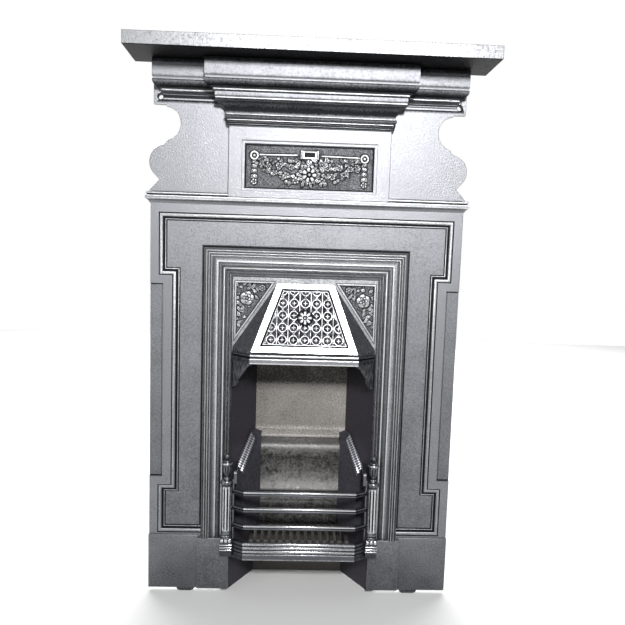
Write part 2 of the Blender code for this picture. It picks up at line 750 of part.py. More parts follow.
def spandrel_wells():
    """Sunk triangles of the spandrels."""
    side = OPEN_HALF - SPANDREL_BORDER
    top = HOOD_TOP - 0.001
    run = (OPEN_HALF - HOOD_TOP_WIDTH / 2) / (HOOD_TOP - SPANDREL_FOOT)
    near = HOOD_TOP_WIDTH / 2 + SPANDREL_BAND + (HOOD_TOP - top) * run
    foot = top - (side - near) / run
    wells = []
    for sign in (-1, 1):
        outline = [(sign * side, foot), (sign * side, top), (sign * near, top)]
        wells.append(upright("spandrel_well", outline, SPANDREL_SETBACK - 0.004,
                             SPANDREL_SETBACK + SPANDREL_WELL_DEPTH))
    return wells


def spandrel_carving():
    """Rosette, bud and leaf lumps of each spandrel."""
    ground = SPANDREL_SETBACK + SPANDREL_WELL_DEPTH
    pieces = []
    for side in (-1, 1):
        x = side * (OPEN_HALF - 0.0330)
        z = HOOD_TOP - 0.0400
        pieces.append(flower("spandrel_rose", (x, ground, z), 0.0175, 0.0042, 5))
        pieces.append(lump("rose_eye", (x, ground - 0.0038, z), (0.0065, 0.0022, 0.0065)))
        for name, inset, drop, size in (("bud", 0.0700, 0.0135, (0.0095, 0.0035, 0.0085)),
                                        ("leaf", 0.0170, 0.0700, (0.0060, 0.0032, 0.0130)),
                                        ("leaf", 0.0480, 0.0105, (0.0110, 0.0030, 0.0050))):
            pieces.append(lump(name, (side * (OPEN_HALF - inset), ground, HOOD_TOP - drop), size))
    return pieces


def edge_strips():
    strips = []
    for side in (-1, 1):
        xs = sorted((side * (HALF - STRIP_WIDTH), side * (HALF + 0.01)))
        strips.append(box("edge_strip", (xs[0], -0.01, STRIP_BOTTOM), (xs[1], STRIP_DEPTH, STRIP_TOP)))
    return strips


def lug_holes():
    holes = []
    for side in (-1, 1):
        x = side * (HALF - LUG_INSET - LUG_WIDTH / 2 - 0.0015)
        z = BODY_TOP + LUG_HOLE_RISE
        holes.append(upright("lug_hole", arc((x, z), LUG_HOLE_RADIUS, 0, 345, 15), -0.01, PLATE_DEPTH + 0.01))
    return holes


def build_surround():
    body = upright("surround", plate_outline(), 0.0, PLATE_DEPTH)
    cut(body, sunk_field())
    cut(body, *edge_strips())
    add(body, frieze(), *cornice(), string_course())
    cut(body, *cornice_hollows(), upper_pocket(), frieze_panel())
    add(body, *plinth())
    add(body, bolection(), spandrel())
    cut(body, *spandrel_wells(), *lug_holes())
    add(body, *festoon(), *spandrel_carving())
    return as_part(body, "surround", iron("graphite_polished_cast_iron", (0.30, 0.31, 0.32), 0.38))


# Mantel shelf

def build_shelf():
    half = SHELF_WIDTH / 2
    shelf = box("mantel_shelf", (-half, SHELF_FRONT, SHELF_BOTTOM),
                (half, PLATE_DEPTH, SHELF_BOTTOM + SHELF_THICKNESS))
    rounding = shelf.modifiers.new("edges", 'BEVEL')
    rounding.width = 0.0012
    rounding.segments = 2
    rounding.limit_method = 'ANGLE'
    wall = SHELF_WALL
    cut(shelf, box("shelf_hollow", (-half + wall, SHELF_FRONT + wall, SHELF_BOTTOM + wall),
                   (half - wall, PLATE_DEPTH + 0.01, SHELF_BOTTOM + SHELF_THICKNESS - wall)))
    hole = arc((half - SHELF_HOLE_INSET, SHELF_FRONT + SHELF_HOLE_SETBACK), SHELF_HOLE_RADIUS, 0, 330, 11)
    cut(shelf, level("shelf_hole", hole, SHELF_BOTTOM - 0.01, SHELF_BOTTOM + wall + 0.004))
    return as_part(shelf, "mantel_shelf", iron("polished_shelf_iron", (0.55, 0.56, 0.57), 0.35))


# Canopy hood

def hood_corners():
    """Corner points of the hood's right half."""
    top = Vector((HOOD_TOP_WIDTH / 2, HOOD_TOP_SETBACK, HOOD_TOP))
    break_front = Vector((HOOD_LIP_WIDTH / 2, -HOOD_PROJECTION, HOOD_BREAK))
    lip_front = Vector((HOOD_LIP_WIDTH / 2, -HOOD_PROJECTION, HOOD_LIP_BOTTOM))
    side_back = Vector((OPEN_HALF - 0.0025, SPANDREL_SETBACK - 0.0013, SPANDREL_FOOT))
    return top, break_front, lip_front, side_back


def drop_edge(lip_front, side_back):
    """Scalloped lower edge of a side drop, from the back corner up to the lip."""
    share_height = ((1.0, 0.0), (0.90, 0.0), (0.78, 0.14), (0.68, 0.22), (0.63, 0.31), (0.58, 0.45),
                    (0.48, 0.57), (0.37, 0.68), (0.29, 0.78), (0.20, 0.88), (0.08, 0.94))
    rise = HOOD_LIP_BOTTOM - HOOD_DROP_BOTTOM
    points = []
    for share, height in share_height:
        x = lip_front.x + (side_back.x - lip_front.x) * share
        y = lip_front.y + (side_back.y - lip_front.y) * share
        points.append(Vector((x, y, HOOD_DROP_BOTTOM + rise * height)))
    return points


def hood_sheet(bm):
    """Outer skin of the hood: sloped front, upright lip, canted sides and their drops."""
    top, break_front, lip_front, side_back = hood_corners()
    sides = []
    for sign in (1, -1):
        flip = Vector((sign, 1, 1))
        ring = {"top": bm.verts.new(top * flip), "front": bm.verts.new(break_front * flip),
                "lip": bm.verts.new(lip_front * flip), "back": bm.verts.new(side_back * flip),
                "drop": [bm.verts.new(p * flip) for p in drop_edge(lip_front, side_back)]}
        sides.append(ring)
        bm.faces.new((ring["top"], ring["back"], ring["front"]))
        bm.faces.new([ring["front"], ring["back"], *ring["drop"], ring["lip"]])
    right, left = sides
    bm.faces.new((right["top"], left["top"], left["front"], right["front"]))
    bm.faces.new((right["front"], left["front"], left["lip"], right["lip"]))


def slope_frame():
    """Matrix of the sloped front: X across, Y up the slope, Z out of the face; origin mid break line."""
    top, break_front, _, _ = hood_corners()
    up = (Vector((0, top.y, top.z)) - Vector((0, break_front.y, break_front.z))).normalized()
    across = Vector((1, 0, 0))
    out = across.cross(up)
    made = Matrix((across, up, out)).transposed().to_4x4()
    made.translation = Vector((0, break_front.y, break_front.z))
    return made


def slope_length():
    top, break_front, _, _ = hood_corners()
    return (Vector((0, top.y, top.z)) - Vector((0, break_front.y, break_front.z))).length


def hood_panel():
    """Trapezoid panel: half widths at its foot and head, and its foot and head up the slope."""
    head = slope_length() - HOOD_PANEL_HEAD_MARGIN
    return HOOD_PANEL_FOOT_WIDTH / 2, HOOD_PANEL_HEAD_WIDTH / 2, HOOD_PANEL_FOOT, head


def on_slope(name, outline, low, high):
    frame = slope_frame() @ Matrix.Translation((0, 0, (low + high) / 2))
    return flat_piece(name, outline, high - low, frame)


def hood_carving():
    """Upright ribs, ring bosses and the centre rosette of the panel."""
    foot_half, head_half, foot, head = hood_panel()
    pieces = []
    ribs = []
    for k in range(-3, 3):
        x = (k + 0.5) * HOOD_COLUMN_PITCH
        low = foot - 0.001
        high = head + 0.001
        if abs(x) > head_half:
            high = foot - 0.003 + (head - foot) * (foot_half - abs(x)) / (foot_half - head_half)
        rib = [(x - 0.001, low), (x + 0.001, low), (x + 0.001, high), (x - 0.001, high)]
        ribs.append(on_slope("rib", rib, -0.0040, -0.0008))
    pieces.append(join_meshes("ribs", ribs))
    rings = []
    centre = (foot + head) / 2 + 0.001
    for row in range(HOOD_ROWS):
        up = foot + HOOD_FIRST_ROW + HOOD_ROW_PITCH * row
        half = foot_half + (head_half - foot_half) * (up - foot) / (head - foot)
        for column in range(-3, 4):
            x = column * HOOD_COLUMN_PITCH
            near_rose = math.hypot(x, up - centre) < HOOD_ROSE_RADIUS + HOOD_BOSS_RADIUS + 0.0005
            if abs(x) + HOOD_BOSS_RADIUS + 0.002 > half or near_rose:
                continue
            rings.append(on_slope("boss", arc((x, up), HOOD_BOSS_RADIUS, 0, 320, 8), -0.0038, -0.0010))
    pieces.append(join_meshes("bosses", rings))
    rose = []
    for k in range(32):
        angle = 2 * math.pi * (k + 0.5) / 32
        reach = HOOD_ROSE_RADIUS * (0.84 + 0.16 * math.cos(8 * angle))
        rose.append((reach * math.sin(angle), centre + reach * math.cos(angle)))
    pieces.append(on_slope("hood_rose", rose, -0.0040, 0.0012))
    pieces.append(on_slope("hood_rose_eye", arc((0, centre), 0.006, 0, 315, 7), -0.001, 0.0032))
    return pieces


def build_hood():
    hood = mesh_object("canopy_hood", hood_sheet)
    shell = hood.modifiers.new("shell", 'SOLIDIFY')
    shell.thickness = HOOD_WALL
    shell.offset = -1.0
    shell.use_even_offset = True
    foot_half, head_half, foot, head = hood_panel()
    outline = [(foot_half, foot), (head_half, head), (-head_half, head), (-foot_half, foot)]
    cut(hood, on_slope("hood_panel", outline, -HOOD_PANEL_DEPTH, 0.004))
    _, break_front, lip_front, side_back = hood_corners()
    end = lip_front.lerp(side_back, 0.955)
    path = [(-end.x, end.y), (-lip_front.x, lip_front.y), (lip_front.x, lip_front.y), (end.x, end.y)]
    low = HOOD_LIP_BOTTOM
    lip = ((-2.0, 0.4), (2.6, 0.4), (4.4, 3.0), (4.4, 12.6), (2.8, 15.6), (0.8, 16.6), (0.8, 18.4),
           (3.0, 19.2), (3.4, 21.8), (2.4, 24.0), (-0.6, 25.6), (-2.0, 25.6))
    add(hood, moulding("hood_lip", path, [(p * MM, low + z * MM) for p, z in lip], plan))
    add(hood, *hood_carving())
    return as_part(hood, "canopy_hood", iron("polished_hood_iron", (0.50, 0.50, 0.51), 0.30))


# Fire chamber

def cheek_line(y):
    """Half width of the chamber at a depth."""
    front = PLATE_DEPTH + GAP
    share = (y - front) / (CHAMBER_DEPTH - front)
    return OPEN_HALF + (CHAMBER_BACK_WIDTH / 2 - OPEN_HALF) * share


def build_cheeks():
    metal = iron("dark_chamber_iron", (0.10, 0.095, 0.105), 0.6)
    front = PLATE_DEPTH + GAP
    rear = CHAMBER_DEPTH - GAP
    wall = CHAMBER_WALL
    for name, side in (("cheek_left", -1), ("cheek_right", 1)):
        inner_rear = cheek_line(rear)
        outline = [(OPEN_HALF, front), (inner_rear, rear), (inner_rear + wall * 1.13, rear),
                   (OPEN_HALF + wall * 0.60, front + wall), (OPEN_HALF + CHEEK_FLANGE, front + wall),
                   (OPEN_HALF + CHEEK_FLANGE, front)]
        outline = [(side * a, b) for a, b in outline]
        as_part(level(name, outline, 0.0, CHAMBER_TOP), name, metal)


def build_back_plate():
    half = CHAMBER_BACK_WIDTH / 2 + CHAMBER_WALL
    y = CHAMBER_DEPTH
    plate = box("back_plate", (-half, y, 0.0), (half, y + CHAMBER_WALL, CHAMBER_TOP))
    reach = BRICK_WIDTH / 2
    tip = y - LEDGE_REACH
    ledge = [(y + 0.002, LEDGE_TOP), (y - 0.003, LEDGE_TOP - 0.001), (tip + 0.002, LEDGE_TOP - 0.0105),
             (tip, LEDGE_TOP - 0.0135), (tip + 0.0015, LEDGE_TOP - 0.0175), (y + 0.002, LEDGE_TOP - 0.0175)]
    add(plate, lengthwise("back_ledge", ledge, -reach, reach))
    rest = GRATE_TOP - FINGER_HEIGHT - 0.0045
    tip = y - REST_REACH
    shelf = [(y + 0.002, rest), (tip, rest), (tip, rest - 0.005), (y + 0.002, rest - 0.025)]
    add(plate, lengthwise("grate_rest", shelf, -REST_WIDTH / 2, REST_WIDTH / 2))
    return as_part(plate, "back_plate", iron("grey_fireback_iron", (0.33, 0.31, 0.29), 0.75, 0.5))


def brick_profile():
    """Contour of the fireback from the top down; the front is in shares of its depth and height."""
    rear = CHAMBER_DEPTH - GAP
    low = GRATE_TOP + GAP
    height = BRICK_TOP - low
    front = ((0.419, 0.995), (0.581, 0.977), (0.659, 0.969), (0.765, 0.97), (0.865, 0.962),
             (0.943, 0.945), (0.987, 0.922), (0.99, 0.897), (0.928, 0.813), (0.867, 0.713),
             (0.842, 0.614), (0.874, 0.514), (0.947, 0.445), (0.975, 0.421), (0.937, 0.401),
             (0.661, 0.375), (0.632, 0.289), (0.775, 0.267), (0.842, 0.22), (0.813, 0.185),
             (0.661, 0.155), (0.632, 0))
    points = [(rear, BRICK_TOP)]
    points += [(rear - a * BRICK_DEPTH, low + b * height) for a, b in front]
    return points + [(rear, low)]


def build_back_brick():
    half = BRICK_WIDTH / 2
    brick = lengthwise("back_brick", brick_profile(), -half, half)
    return as_part(brick, "back_brick", iron("rough_fireback_iron", (0.36, 0.34, 0.32), 0.8, 0.4))


def side_brick_plan():
    """Corners of the right side brick as (x, y, top height), from the outer front corner inwards."""
    rear = CHAMBER_DEPTH - 2 * GAP
    lean = GAP * 1.2
    inner = BRICK_WIDTH / 2 + GAP
    rise = SIDE_BRICK_TOP - SIDE_BRICK_LOW
    front = SIDE_BRICK_FRONT * 1.25
    turn = CHAMBER_DEPTH * 0.80
    return [(cheek_line(front) - lean, front, SIDE_BRICK_LOW + rise * 0.24),
            (SIDE_BRICK_FRONT_WIDTH / 2, SIDE_BRICK_FRONT, SIDE_BRICK_LOW),
            (SIDE_BRICK_SHOULDER_WIDTH / 2, SIDE_BRICK_SHOULDER, SIDE_BRICK_LOW + rise * 0.84),
            (inner, SIDE_BRICK_SHOULDER * 1.2, SIDE_BRICK_LOW + rise * 0.86),
            (inner, rear, SIDE_BRICK_LOW + rise * 0.93),
            (cheek_line(rear) - lean, rear, SIDE_BRICK_TOP),
            (cheek_line(turn) - lean, turn, SIDE_BRICK_TOP - rise * 0.015)]


def build_side_bricks():
    metal = iron("ribbed_side_iron", (0.20, 0.20, 0.22), 0.5)
    corners = side_brick_plan()
    low = GRATE_TOP + GAP
    for name, side in (("side_brick_left", -1), ("side_brick_right", 1)):
        def maker(bm, side=side):
            base = [bm.verts.new((side * x, y, low)) for x, y, _ in corners]
            top = [bm.verts.new((side * x, y, z)) for x, y, z in corners]
            count = len(corners)
            for k in range(count):
                n = (k + 1) % count
                bm.faces.new((base[k], base[n], top[n], top[k]))
            bm.faces.new(base)
            front = (top[0], top[1], top[2], top[6])
            bm.faces.new((front[0], front[1], front[2]))
            bm.faces.new((front[0], front[2], front[3]))
            bm.faces.new((top[6], top[2], top[3]))
            bm.faces.new((top[6], top[3], top[4]))
            bm.faces.new((top[6], top[4], top[5]))
        brick = mesh_object(name, maker)
        add(brick, join_meshes("knurls", side_knurls(side)))
        as_part(brick, name, metal)


def side_knurls(side):
    """Rows of short ribs across the sloping top of a side brick."""
    corners = side_brick_plan()
    outer_front, inner_front, inner_back = (Vector(corners[k]) for k in (0, 1, 2))
    outer_back = Vector(corners[6])
    pieces = []
    for k in range(KNURL_COUNT):
        share = (k + 0.5) / KNURL_COUNT
        outer = outer_front.lerp(outer_back, share)
        inner = inner_front.lerp(inner_back, share)
        run = (outer_back - outer_front).normalized()
        across = (inner - outer)
        start = outer + across * 0.12
        end = outer + across * 0.86
        normal = across.normalized().cross(run)
        if normal.z < 0:
            normal = -normal

        def maker(bm, start=start, end=end, run=run, normal=normal):
            quad = []
            for height in (-0.003, KNURL_HEIGHT):
                wide = KNURL_WIDTH / 2 if height < 0 else KNURL_WIDTH * 0.31
                quad.append([bm.verts.new(flip_x(p, side)) for p in (
                    start - run * wide + normal * height, start + run * wide + normal * height,
                    end + run * wide + normal * height, end - run * wide + normal * height)])
            low, high = quad
            for n in range(4):
                bm.faces.new((low[n], low[(n + 1) % 4], high[(n + 1) % 4], high[n]))
            bm.faces.new(low)
            bm.faces.new(high)
        pieces.append(mesh_object("knurl", maker))
    return pieces


def flip_x(point, side):
    return Vector((side * point.x, point.y, point.z))


# Front bars

def bars_path():
    front = BARS_FRONT_WIDTH / 2
    post = POST_SPACING / 2
    y = -BARS_PROJECTION
    slope = 0.026 / 0.038
    end = post - 0.0065
    end_y = y + (end - front) * slope
    return [(-end, end_y), (-front, y), (front, y), (end, end_y)]


def bar_profile(middle):
    """Two reeds on the face of a flat bar."""
    half = BAR_HEIGHT / 2
    t = BAR_THICKNESS
    return [(-t, middle - half), (-0.001, middle - half), (0.0, middle - half + 0.0012),
            (0.0, middle - 0.0014), (-0.0014, middle - 0.0004),
            (-0.0014, middle + 0.0004), (0.0, middle + 0.0014),
            (0.0, middle + half - 0.0012), (-0.001, middle + half), (-t, middle + half)]


def rail_profile():
    """Three reeds over a plain fascia."""
    t = BAR_THICKNESS
    points = [(-t, RAIL_BOTTOM), (0.0, RAIL_BOTTOM), (0.001, RAIL_BOTTOM + 0.001),
              (0.001, RAIL_BOTTOM + 0.0155), (-0.001, RAIL_BOTTOM + 0.0165)]
    low = RAIL_BOTTOM + 0.0175
    height = (RAIL_TOP - low) / 3
    for k in range(3):
        z = low + height * k
        points += [(0.0002, z + 0.0006), (0.0022, z + height * 0.30)]
        points += [(0.0022, z + height * 0.62), (0.0002, z + height - 0.0010)]
    points += [(-0.001, RAIL_TOP), (-t, RAIL_TOP)]
    return points


def post_height(share):
    """Height above the ground at a share of the post's height."""
    return POST_FOOT + share * (POST_TOP - POST_FOOT)


def post_profile(shares):
    """Turning profile from (share of the shaft's radius, share of the post's height) pairs."""
    return [(r * POST_RADIUS, post_height(z)) for r, z in shares]


def urn_profile():
    """Urn, collar and neck above the fluted shaft, top to bottom."""
    return post_profile(((0, 1), (0.23, 0.997), (0.426, 0.9829), (0.459, 0.9677), (0.287, 0.9525),
                         (0.246, 0.943), (0.697, 0.9316), (0.82, 0.9183), (1.164, 0.9125), (1.164, 0.8973),
                         (0.902, 0.8916), (0.918, 0.8593), (0.82, 0.8251), (0.508, 0.7947), (0.41, 0.7795),
                         (0.639, 0.77), (0.639, 0.7567), (0.82, 0.7414), (1.295, 0.7338), (1.295, 0.7072),
                         (1.107, 0.6958), (0.779, 0.6806), (0, 0.6806)))


def base_profile():
    """Turned rings between the shaft and the square block."""
    return post_profile(((0, 0.2471), (0.779, 0.2471), (1.082, 0.2262), (1.082, 0.2148), (0.918, 0.2091),
                         (1.148, 0.1977), (1.148, 0.1749), (0, 0.1749)))


def post_pieces(side):
    """Square block, moulded base, fluted shaft and urn of one post."""
    x = side * POST_SPACING / 2
    y = -POST_AXIS_PROJECTION
    wide = POST_RADIUS + BLOCK_MARGIN
    shaft = []
    for k in range(POST_FLUTES * 4):
        angle = 2 * math.pi * k / (POST_FLUTES * 4)
        deep = FLUTE_DEPTH if k % 4 in (1, 2) else 0.0
        shaft.append((x + (POST_RADIUS - deep) * math.cos(angle), y + (POST_RADIUS - deep) * math.sin(angle)))
    rear = -INNER_PLINTH_PROUD - GAP
    front = y - wide
    pieces = [level("post_shaft", shaft, post_height(0.2198), post_height(0.7015)),
              turned("post_urn", urn_profile(), (x, y, 0), 12),
              turned("post_base", base_profile(), (x, y, 0), 12),
              box("post_block", (x - wide, front, POST_FOOT), (x + wide, rear, post_height(0.1806)))]
    for low, high, proud in ((0.1369, 0.1665, 0.0016), (0.0456, 0.0627, 0.0012)):
        pieces.append(box("post_band", (x - wide - proud, front - proud, post_height(low)),
                          (x + wide + proud, rear - 0.0020 + proud, post_height(high))))
    return pieces


def bar_links(side):
    """Upright strip beside the post, from the rail to the scrolled lug above the top bar."""
    x = side * (POST_SPACING / 2 - LINK_INSET)
    y = -POST_AXIS_PROJECTION
    half = LINK_WIDTH / 2
    strip = box("link", (x - half, y - 0.0020, RAIL_BOTTOM + 0.010), (x + half, y + 0.0055, LINK_TOP))
    lug_x = side * (POST_SPACING / 2 - LUG_STRIP_INSET)
    lug = [(-1.0, -12.0), (4.0, -16.0), (12.0, -4.0), (48.5, 25.0), (49.0, 32.5), (34.0, 27.0), (16.0, 22.0),
           (4.0, 21.0), (-1.0, 14.0)]
    lug = [(y + a * MM, LINK_TOP + b * MM) for a, b in lug]
    hook = lengthwise("lug", lug, lug_x - LUG_STRIP_WIDTH / 2, lug_x + LUG_STRIP_WIDTH / 2)
    return [strip, hook]


def build_front_bars():
    path = bars_path()
    bars = moulding("front_bars", path, rail_profile(), plan)
    for middle in (TOP_BAR_LEVEL, MIDDLE_BAR_LEVEL, LOW_BAR_LEVEL):
        add(bars, moulding("bar", path, bar_profile(middle), plan))
    for side in (-1, 1):
        add(bars, *post_pieces(side))
        add(bars, *bar_links(side))
    near = REST_FRONT - BARS_PROJECTION
    reach = BARS_FRONT_WIDTH / 2 - REST_INSET
    low = GRATE_TOP - FINGER_HEIGHT - REST_DROP
    ledge = box("rail_ledge", (-reach, near, low), (reach, near + REST_DEPTH, low + REST_THICKNESS))
    add(bars, ledge)
    return as_part(bars, "front_bars", iron("bright_bar_iron", (0.42, 0.42, 0.43), 0.33))


# Bottom grate

def build_grate():
    front = -BARS_PROJECTION + BAR_THICKNESS + GRATE_PLAY
    rear = CHAMBER_DEPTH - GRATE_REAR_PLAY
    low = GRATE_TOP - FINGER_HEIGHT
    half = (FINGER_COUNT - 1) * FINGER_PITCH / 2 + FINGER_WIDTH / 2 - GRATE_PLAY
    fingers = []
    for k in range(FINGER_COUNT):
        x = (k - (FINGER_COUNT - 1) / 2) * FINGER_PITCH
        beyond = max(0.0, abs(x) - BRICK_WIDTH / 2)
        fingers.append(box("finger", (x - FINGER_WIDTH / 2, front, low),
                           (x + FINGER_WIDTH / 2, rear - beyond * FINGER_SPLAY, GRATE_TOP)))
    foot = low - CROSS_BAR_DROP
    top = foot + CROSS_BAR_HEIGHT
    near = front + 0.2 * CROSS_BAR_WIDTH
    grate = box("bottom_grate", (-half, near, foot), (half, near + CROSS_BAR_WIDTH, top))
    add(grate, join_meshes("fingers", fingers))
    narrow = BRICK_WIDTH / 2 - TAIL_BAR_PLAY
    tail = rear - TAIL_BAR_INSET
    add(grate, box("grate_tail", (-narrow, tail - CROSS_BAR_WIDTH, foot), (narrow, tail, top)))
    return as_part(grate, "bottom_grate", iron("burnt_grate_iron", (0.24, 0.22, 0.21), 0.7, 0.5))


def settle():
    """Move everything so that the origin lies at the middle of the depth."""
    for item in bpy.data.objects:
        item.location.y -= Y_MIDDLE


build_surround()
build_shelf()
build_hood()
build_cheeks()
build_back_plate()
build_back_brick()
build_side_bricks()
build_front_bars()
build_grate()
settle()
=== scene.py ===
# %% [markdown]
# # A cast iron combination fireplace
# This fireplace is one tall casting with a canopy hood, a splayed fire chamber and a barred grate.
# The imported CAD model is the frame. It fixes every size. The looks are built over it: finer
# mouldings, low relief and worn graphite polish.

# %% Load the frame
import math

import bmesh
import bpy
import numpy as np
from mathutils import Matrix, Vector
from mathutils.geometry import tessellate_polygon


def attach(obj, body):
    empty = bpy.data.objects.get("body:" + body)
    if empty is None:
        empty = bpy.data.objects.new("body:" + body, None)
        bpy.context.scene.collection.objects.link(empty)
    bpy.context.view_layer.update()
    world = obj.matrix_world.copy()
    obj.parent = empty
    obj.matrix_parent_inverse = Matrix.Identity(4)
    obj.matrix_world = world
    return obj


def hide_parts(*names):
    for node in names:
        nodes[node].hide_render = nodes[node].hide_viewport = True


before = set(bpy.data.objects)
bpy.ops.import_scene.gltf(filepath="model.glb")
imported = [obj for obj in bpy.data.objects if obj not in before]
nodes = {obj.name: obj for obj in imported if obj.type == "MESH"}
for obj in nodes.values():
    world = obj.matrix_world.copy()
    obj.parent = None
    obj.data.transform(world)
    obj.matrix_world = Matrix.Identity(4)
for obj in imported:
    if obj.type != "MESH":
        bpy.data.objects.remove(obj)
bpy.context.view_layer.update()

print("pieces in the frame:", sorted(nodes))

# %% [markdown]
# ## Sizes
# All sizes are metres. While a piece is worked out, y = 0 is the face of the front plate, x = 0 the
# middle and z = 0 the ground. The frame's origin lies in the middle of the depth, so every finished
# mesh is moved by one small step in y.

# %% Main sizes
MM = 0.001                        # profiles are written in millimetres
FRAME_STEP = -0.0045              # plate face, in the frame's own y
HALF = 0.380                      # half of the body's width
BODY_TOP = 0.978                  # underside of the string course
OPEN_HALF = 0.1788                # half of the fire opening's width
OPEN_TOP = 0.806                  # head of the fire opening
BACK = 0.016                      # wall plane
CORNICE_TOP = 1.3067              # the shelf lies on it
FRIEZE_HALF = 0.194               # half of the frieze block's width
FRIEZE_FACE = -0.0105             # y of the frieze block's face
BEHIND = (0, 1, 0)                # direction that faces on the back point in
rng = np.random.default_rng(7)    # one stream, so that every run gives the same leaves
print("body", 2 * HALF, "m wide; opening", 2 * OPEN_HALF, "x", OPEN_TOP, "m")

# %% [markdown]
# ## Helpers for meshes
# A piece is collected from several surfaces. Each surface is a grid of points, a function of two
# parameters. Every point also carries a number for buffing and painted shade: 0 in a hollow, dark
# with paste and with painted shade, 0.5 on a flat and 1 on an arris that hands and brushes have
# buffed bright, with a painted highlight on it. The materials read it.

# %% Collecting surfaces into one piece
class Surfaces:
    """Points, faces and polish of one piece, gathered surface by surface."""

    def __init__(self):
        self.points, self.faces, self.polish, self.count = [], [], [], 0

    def take(self, points, faces, polish, towards):
        """Adds one surface. Its faces are turned so that the sum of their areas, as vectors, points
        the given way."""
        points = np.asarray(points, float).reshape(-1, 3)
        polish = np.broadcast_to(np.asarray(polish, float).reshape(-1), (len(points),))
        total = np.zeros(3)
        for size in {len(f) for f in faces}:
            some = np.array([f for f in faces if len(f) == size])
            corner = points[some]
            for k in range(1, size - 1):
                first, second = corner[:, k] - corner[:, 0], corner[:, k + 1] - corner[:, 0]
                total += np.cross(first, second).sum(axis=0)
        if total @ np.asarray(towards, float) < 0:
            faces = [tuple(reversed(f)) for f in faces]
        self.faces += [tuple(int(i) + self.count for i in f) for f in faces]
        self.points.append(points)
        self.polish.append(polish)
        self.count += len(points)

    def grid(self, points, polish=0.5, towards=(0, -1, 0), closed=False):
        """Adds a grid of points (rows, columns, 3); closed joins the last column to the first."""
        rows, columns = points.shape[:2]
        index = np.arange(rows * columns).reshape(rows, columns)
        if closed:
            index = np.concatenate([index, index[:, :1]], axis=1)
        quads = np.stack([index[:-1, :-1], index[:-1, 1:], index[1:, 1:], index[1:, :-1]], axis=-1)
        polish = np.broadcast_to(polish, (rows, columns))
        self.take(points, [tuple(q) for q in quads.reshape(-1, 4)], polish, towards)


def finish_piece(name, surfaces, material, replaces=(), angle=32.0, weld=True):
    """Turns gathered surfaces into a mesh object in the frame, smooth but sharp at real edges."""
    points = np.concatenate(surfaces.points) + (0.0, FRAME_STEP, 0.0)
    mesh = bpy.data.meshes.new(name)
    mesh.from_pydata(points.tolist(), [], surfaces.faces)
    layer = mesh.attributes.new("polish", 'FLOAT', 'POINT')
    layer.data.foreach_set("value", np.concatenate(surfaces.polish).astype(np.float32))
    if weld:
        bm = bmesh.new()
        bm.from_mesh(mesh)
        bmesh.ops.remove_doubles(bm, verts=bm.verts[:], dist=0.00002)
        bmesh.ops.dissolve_degenerate(bm, edges=bm.edges[:], dist=0.00001)
        bm.to_mesh(mesh)
        bm.free()
    mesh.shade_smooth()
    mesh.set_sharp_from_angle(angle=math.radians(angle))
    mesh.materials.append(material)
    piece = bpy.data.objects.new(name, mesh)
    bpy.context.scene.collection.objects.link(piece)
    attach(piece, "root")
    if replaces:
        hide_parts(*replaces)
    print(name, len(mesh.polygons), "faces")
    return piece

# %% [markdown]
# A moulding is a profile carried along a path and mitred at its corners, as a pattern maker planes
# it. Real castings have no knife edges, so each corner of the profile is first rounded a little.

# %% Profiles and sweeps
def eased(profile, radius=0.6, span=2.0):
    """Rounds a polyline's corners: each becomes three points of a curve that starts and ends radius
    away, or at most 0.4 of an edge away. Long edges get points near their ends. Same units as given."""
    profile = np.asarray(profile, float)
    made = [profile[0]]
    for before, here, after in zip(profile[:-2], profile[1:-1], profile[2:]):
        back = before - here
        ahead = after - here
        reach_back = min(radius, 0.4 * np.linalg.norm(back))
        reach_ahead = min(radius, 0.4 * np.linalg.norm(ahead))
        start = here + back / max(np.linalg.norm(back), 1e-9) * reach_back
        end = here + ahead / max(np.linalg.norm(ahead), 1e-9) * reach_ahead
        made += [start, 0.25 * start + 0.5 * here + 0.25 * end, end]
    made.append(profile[-1])
    dense = [made[0]]
    for a, b in zip(made, made[1:]):
        steps = max(1, int(math.ceil(np.linalg.norm(b - a) / span)))
        dense += [a + (b - a) * k / steps for k in range(1, steps + 1)]
    return np.array(dense)


def proudness(profile, reach=3.0, gain=0.75):
    """Buffing and painted shade along a profile: how far each point stands out from the mean of
    its neighbours.
    """
    step = np.linalg.norm(np.diff(profile, axis=0), axis=1)
    along = np.concatenate([[0.0], np.cumsum(step)])
    near = np.exp(-((along[:, None] - along[None, :]) / reach) ** 2)
    mean = near @ profile / near.sum(axis=1, keepdims=True)
    run = np.gradient(profile, axis=0)
    normal = np.stack([run[:, 1], -run[:, 0]], axis=1)
    normal /= np.maximum(np.linalg.norm(normal, axis=1, keepdims=True), 1e-9)
    return np.clip(0.5 + gain * ((profile - mean) * normal).sum(axis=1), 0.0, 1.0)


def mitres(path):
    """Direction to the right of the run at each corner, long enough to keep the offset at a mitre:
    (n1 + n2) / (1 + n1 . n2), from the normals n1 and n2 of the two runs that meet."""
    path = np.asarray(path, float)
    run = np.diff(path, axis=0)
    run /= np.linalg.norm(run, axis=1, keepdims=True)
    normal = np.stack([run[:, 1], -run[:, 0]], axis=1)
    before = np.concatenate([normal[:1], normal])
    after = np.concatenate([normal, normal[-1:]])
    return (before + after) / (1.0 + (before * after).sum(axis=1, keepdims=True))


def sweep(path, profile, upright=False):
    """Grid of a profile of (offset, height) carried along a 2D path: path + offset * mitre, height.
    An upright sweep runs in the plane of x and z, and its height is y."""
    path = np.asarray(path, float)
    ways = mitres(path)
    spot = path[:, None, :] + ways[:, None, :] * profile[None, :, :1]
    height = np.broadcast_to(profile[None, :, 1:], (len(path), len(profile), 1))
    grid = np.concatenate([spot, height], axis=2)
    return grid[:, :, [0, 2, 1]] if upright else grid


def offset_line(line, amount):
    """Polyline moved to the right of its run by an amount."""
    return np.asarray(line, float) + mitres(line) * amount


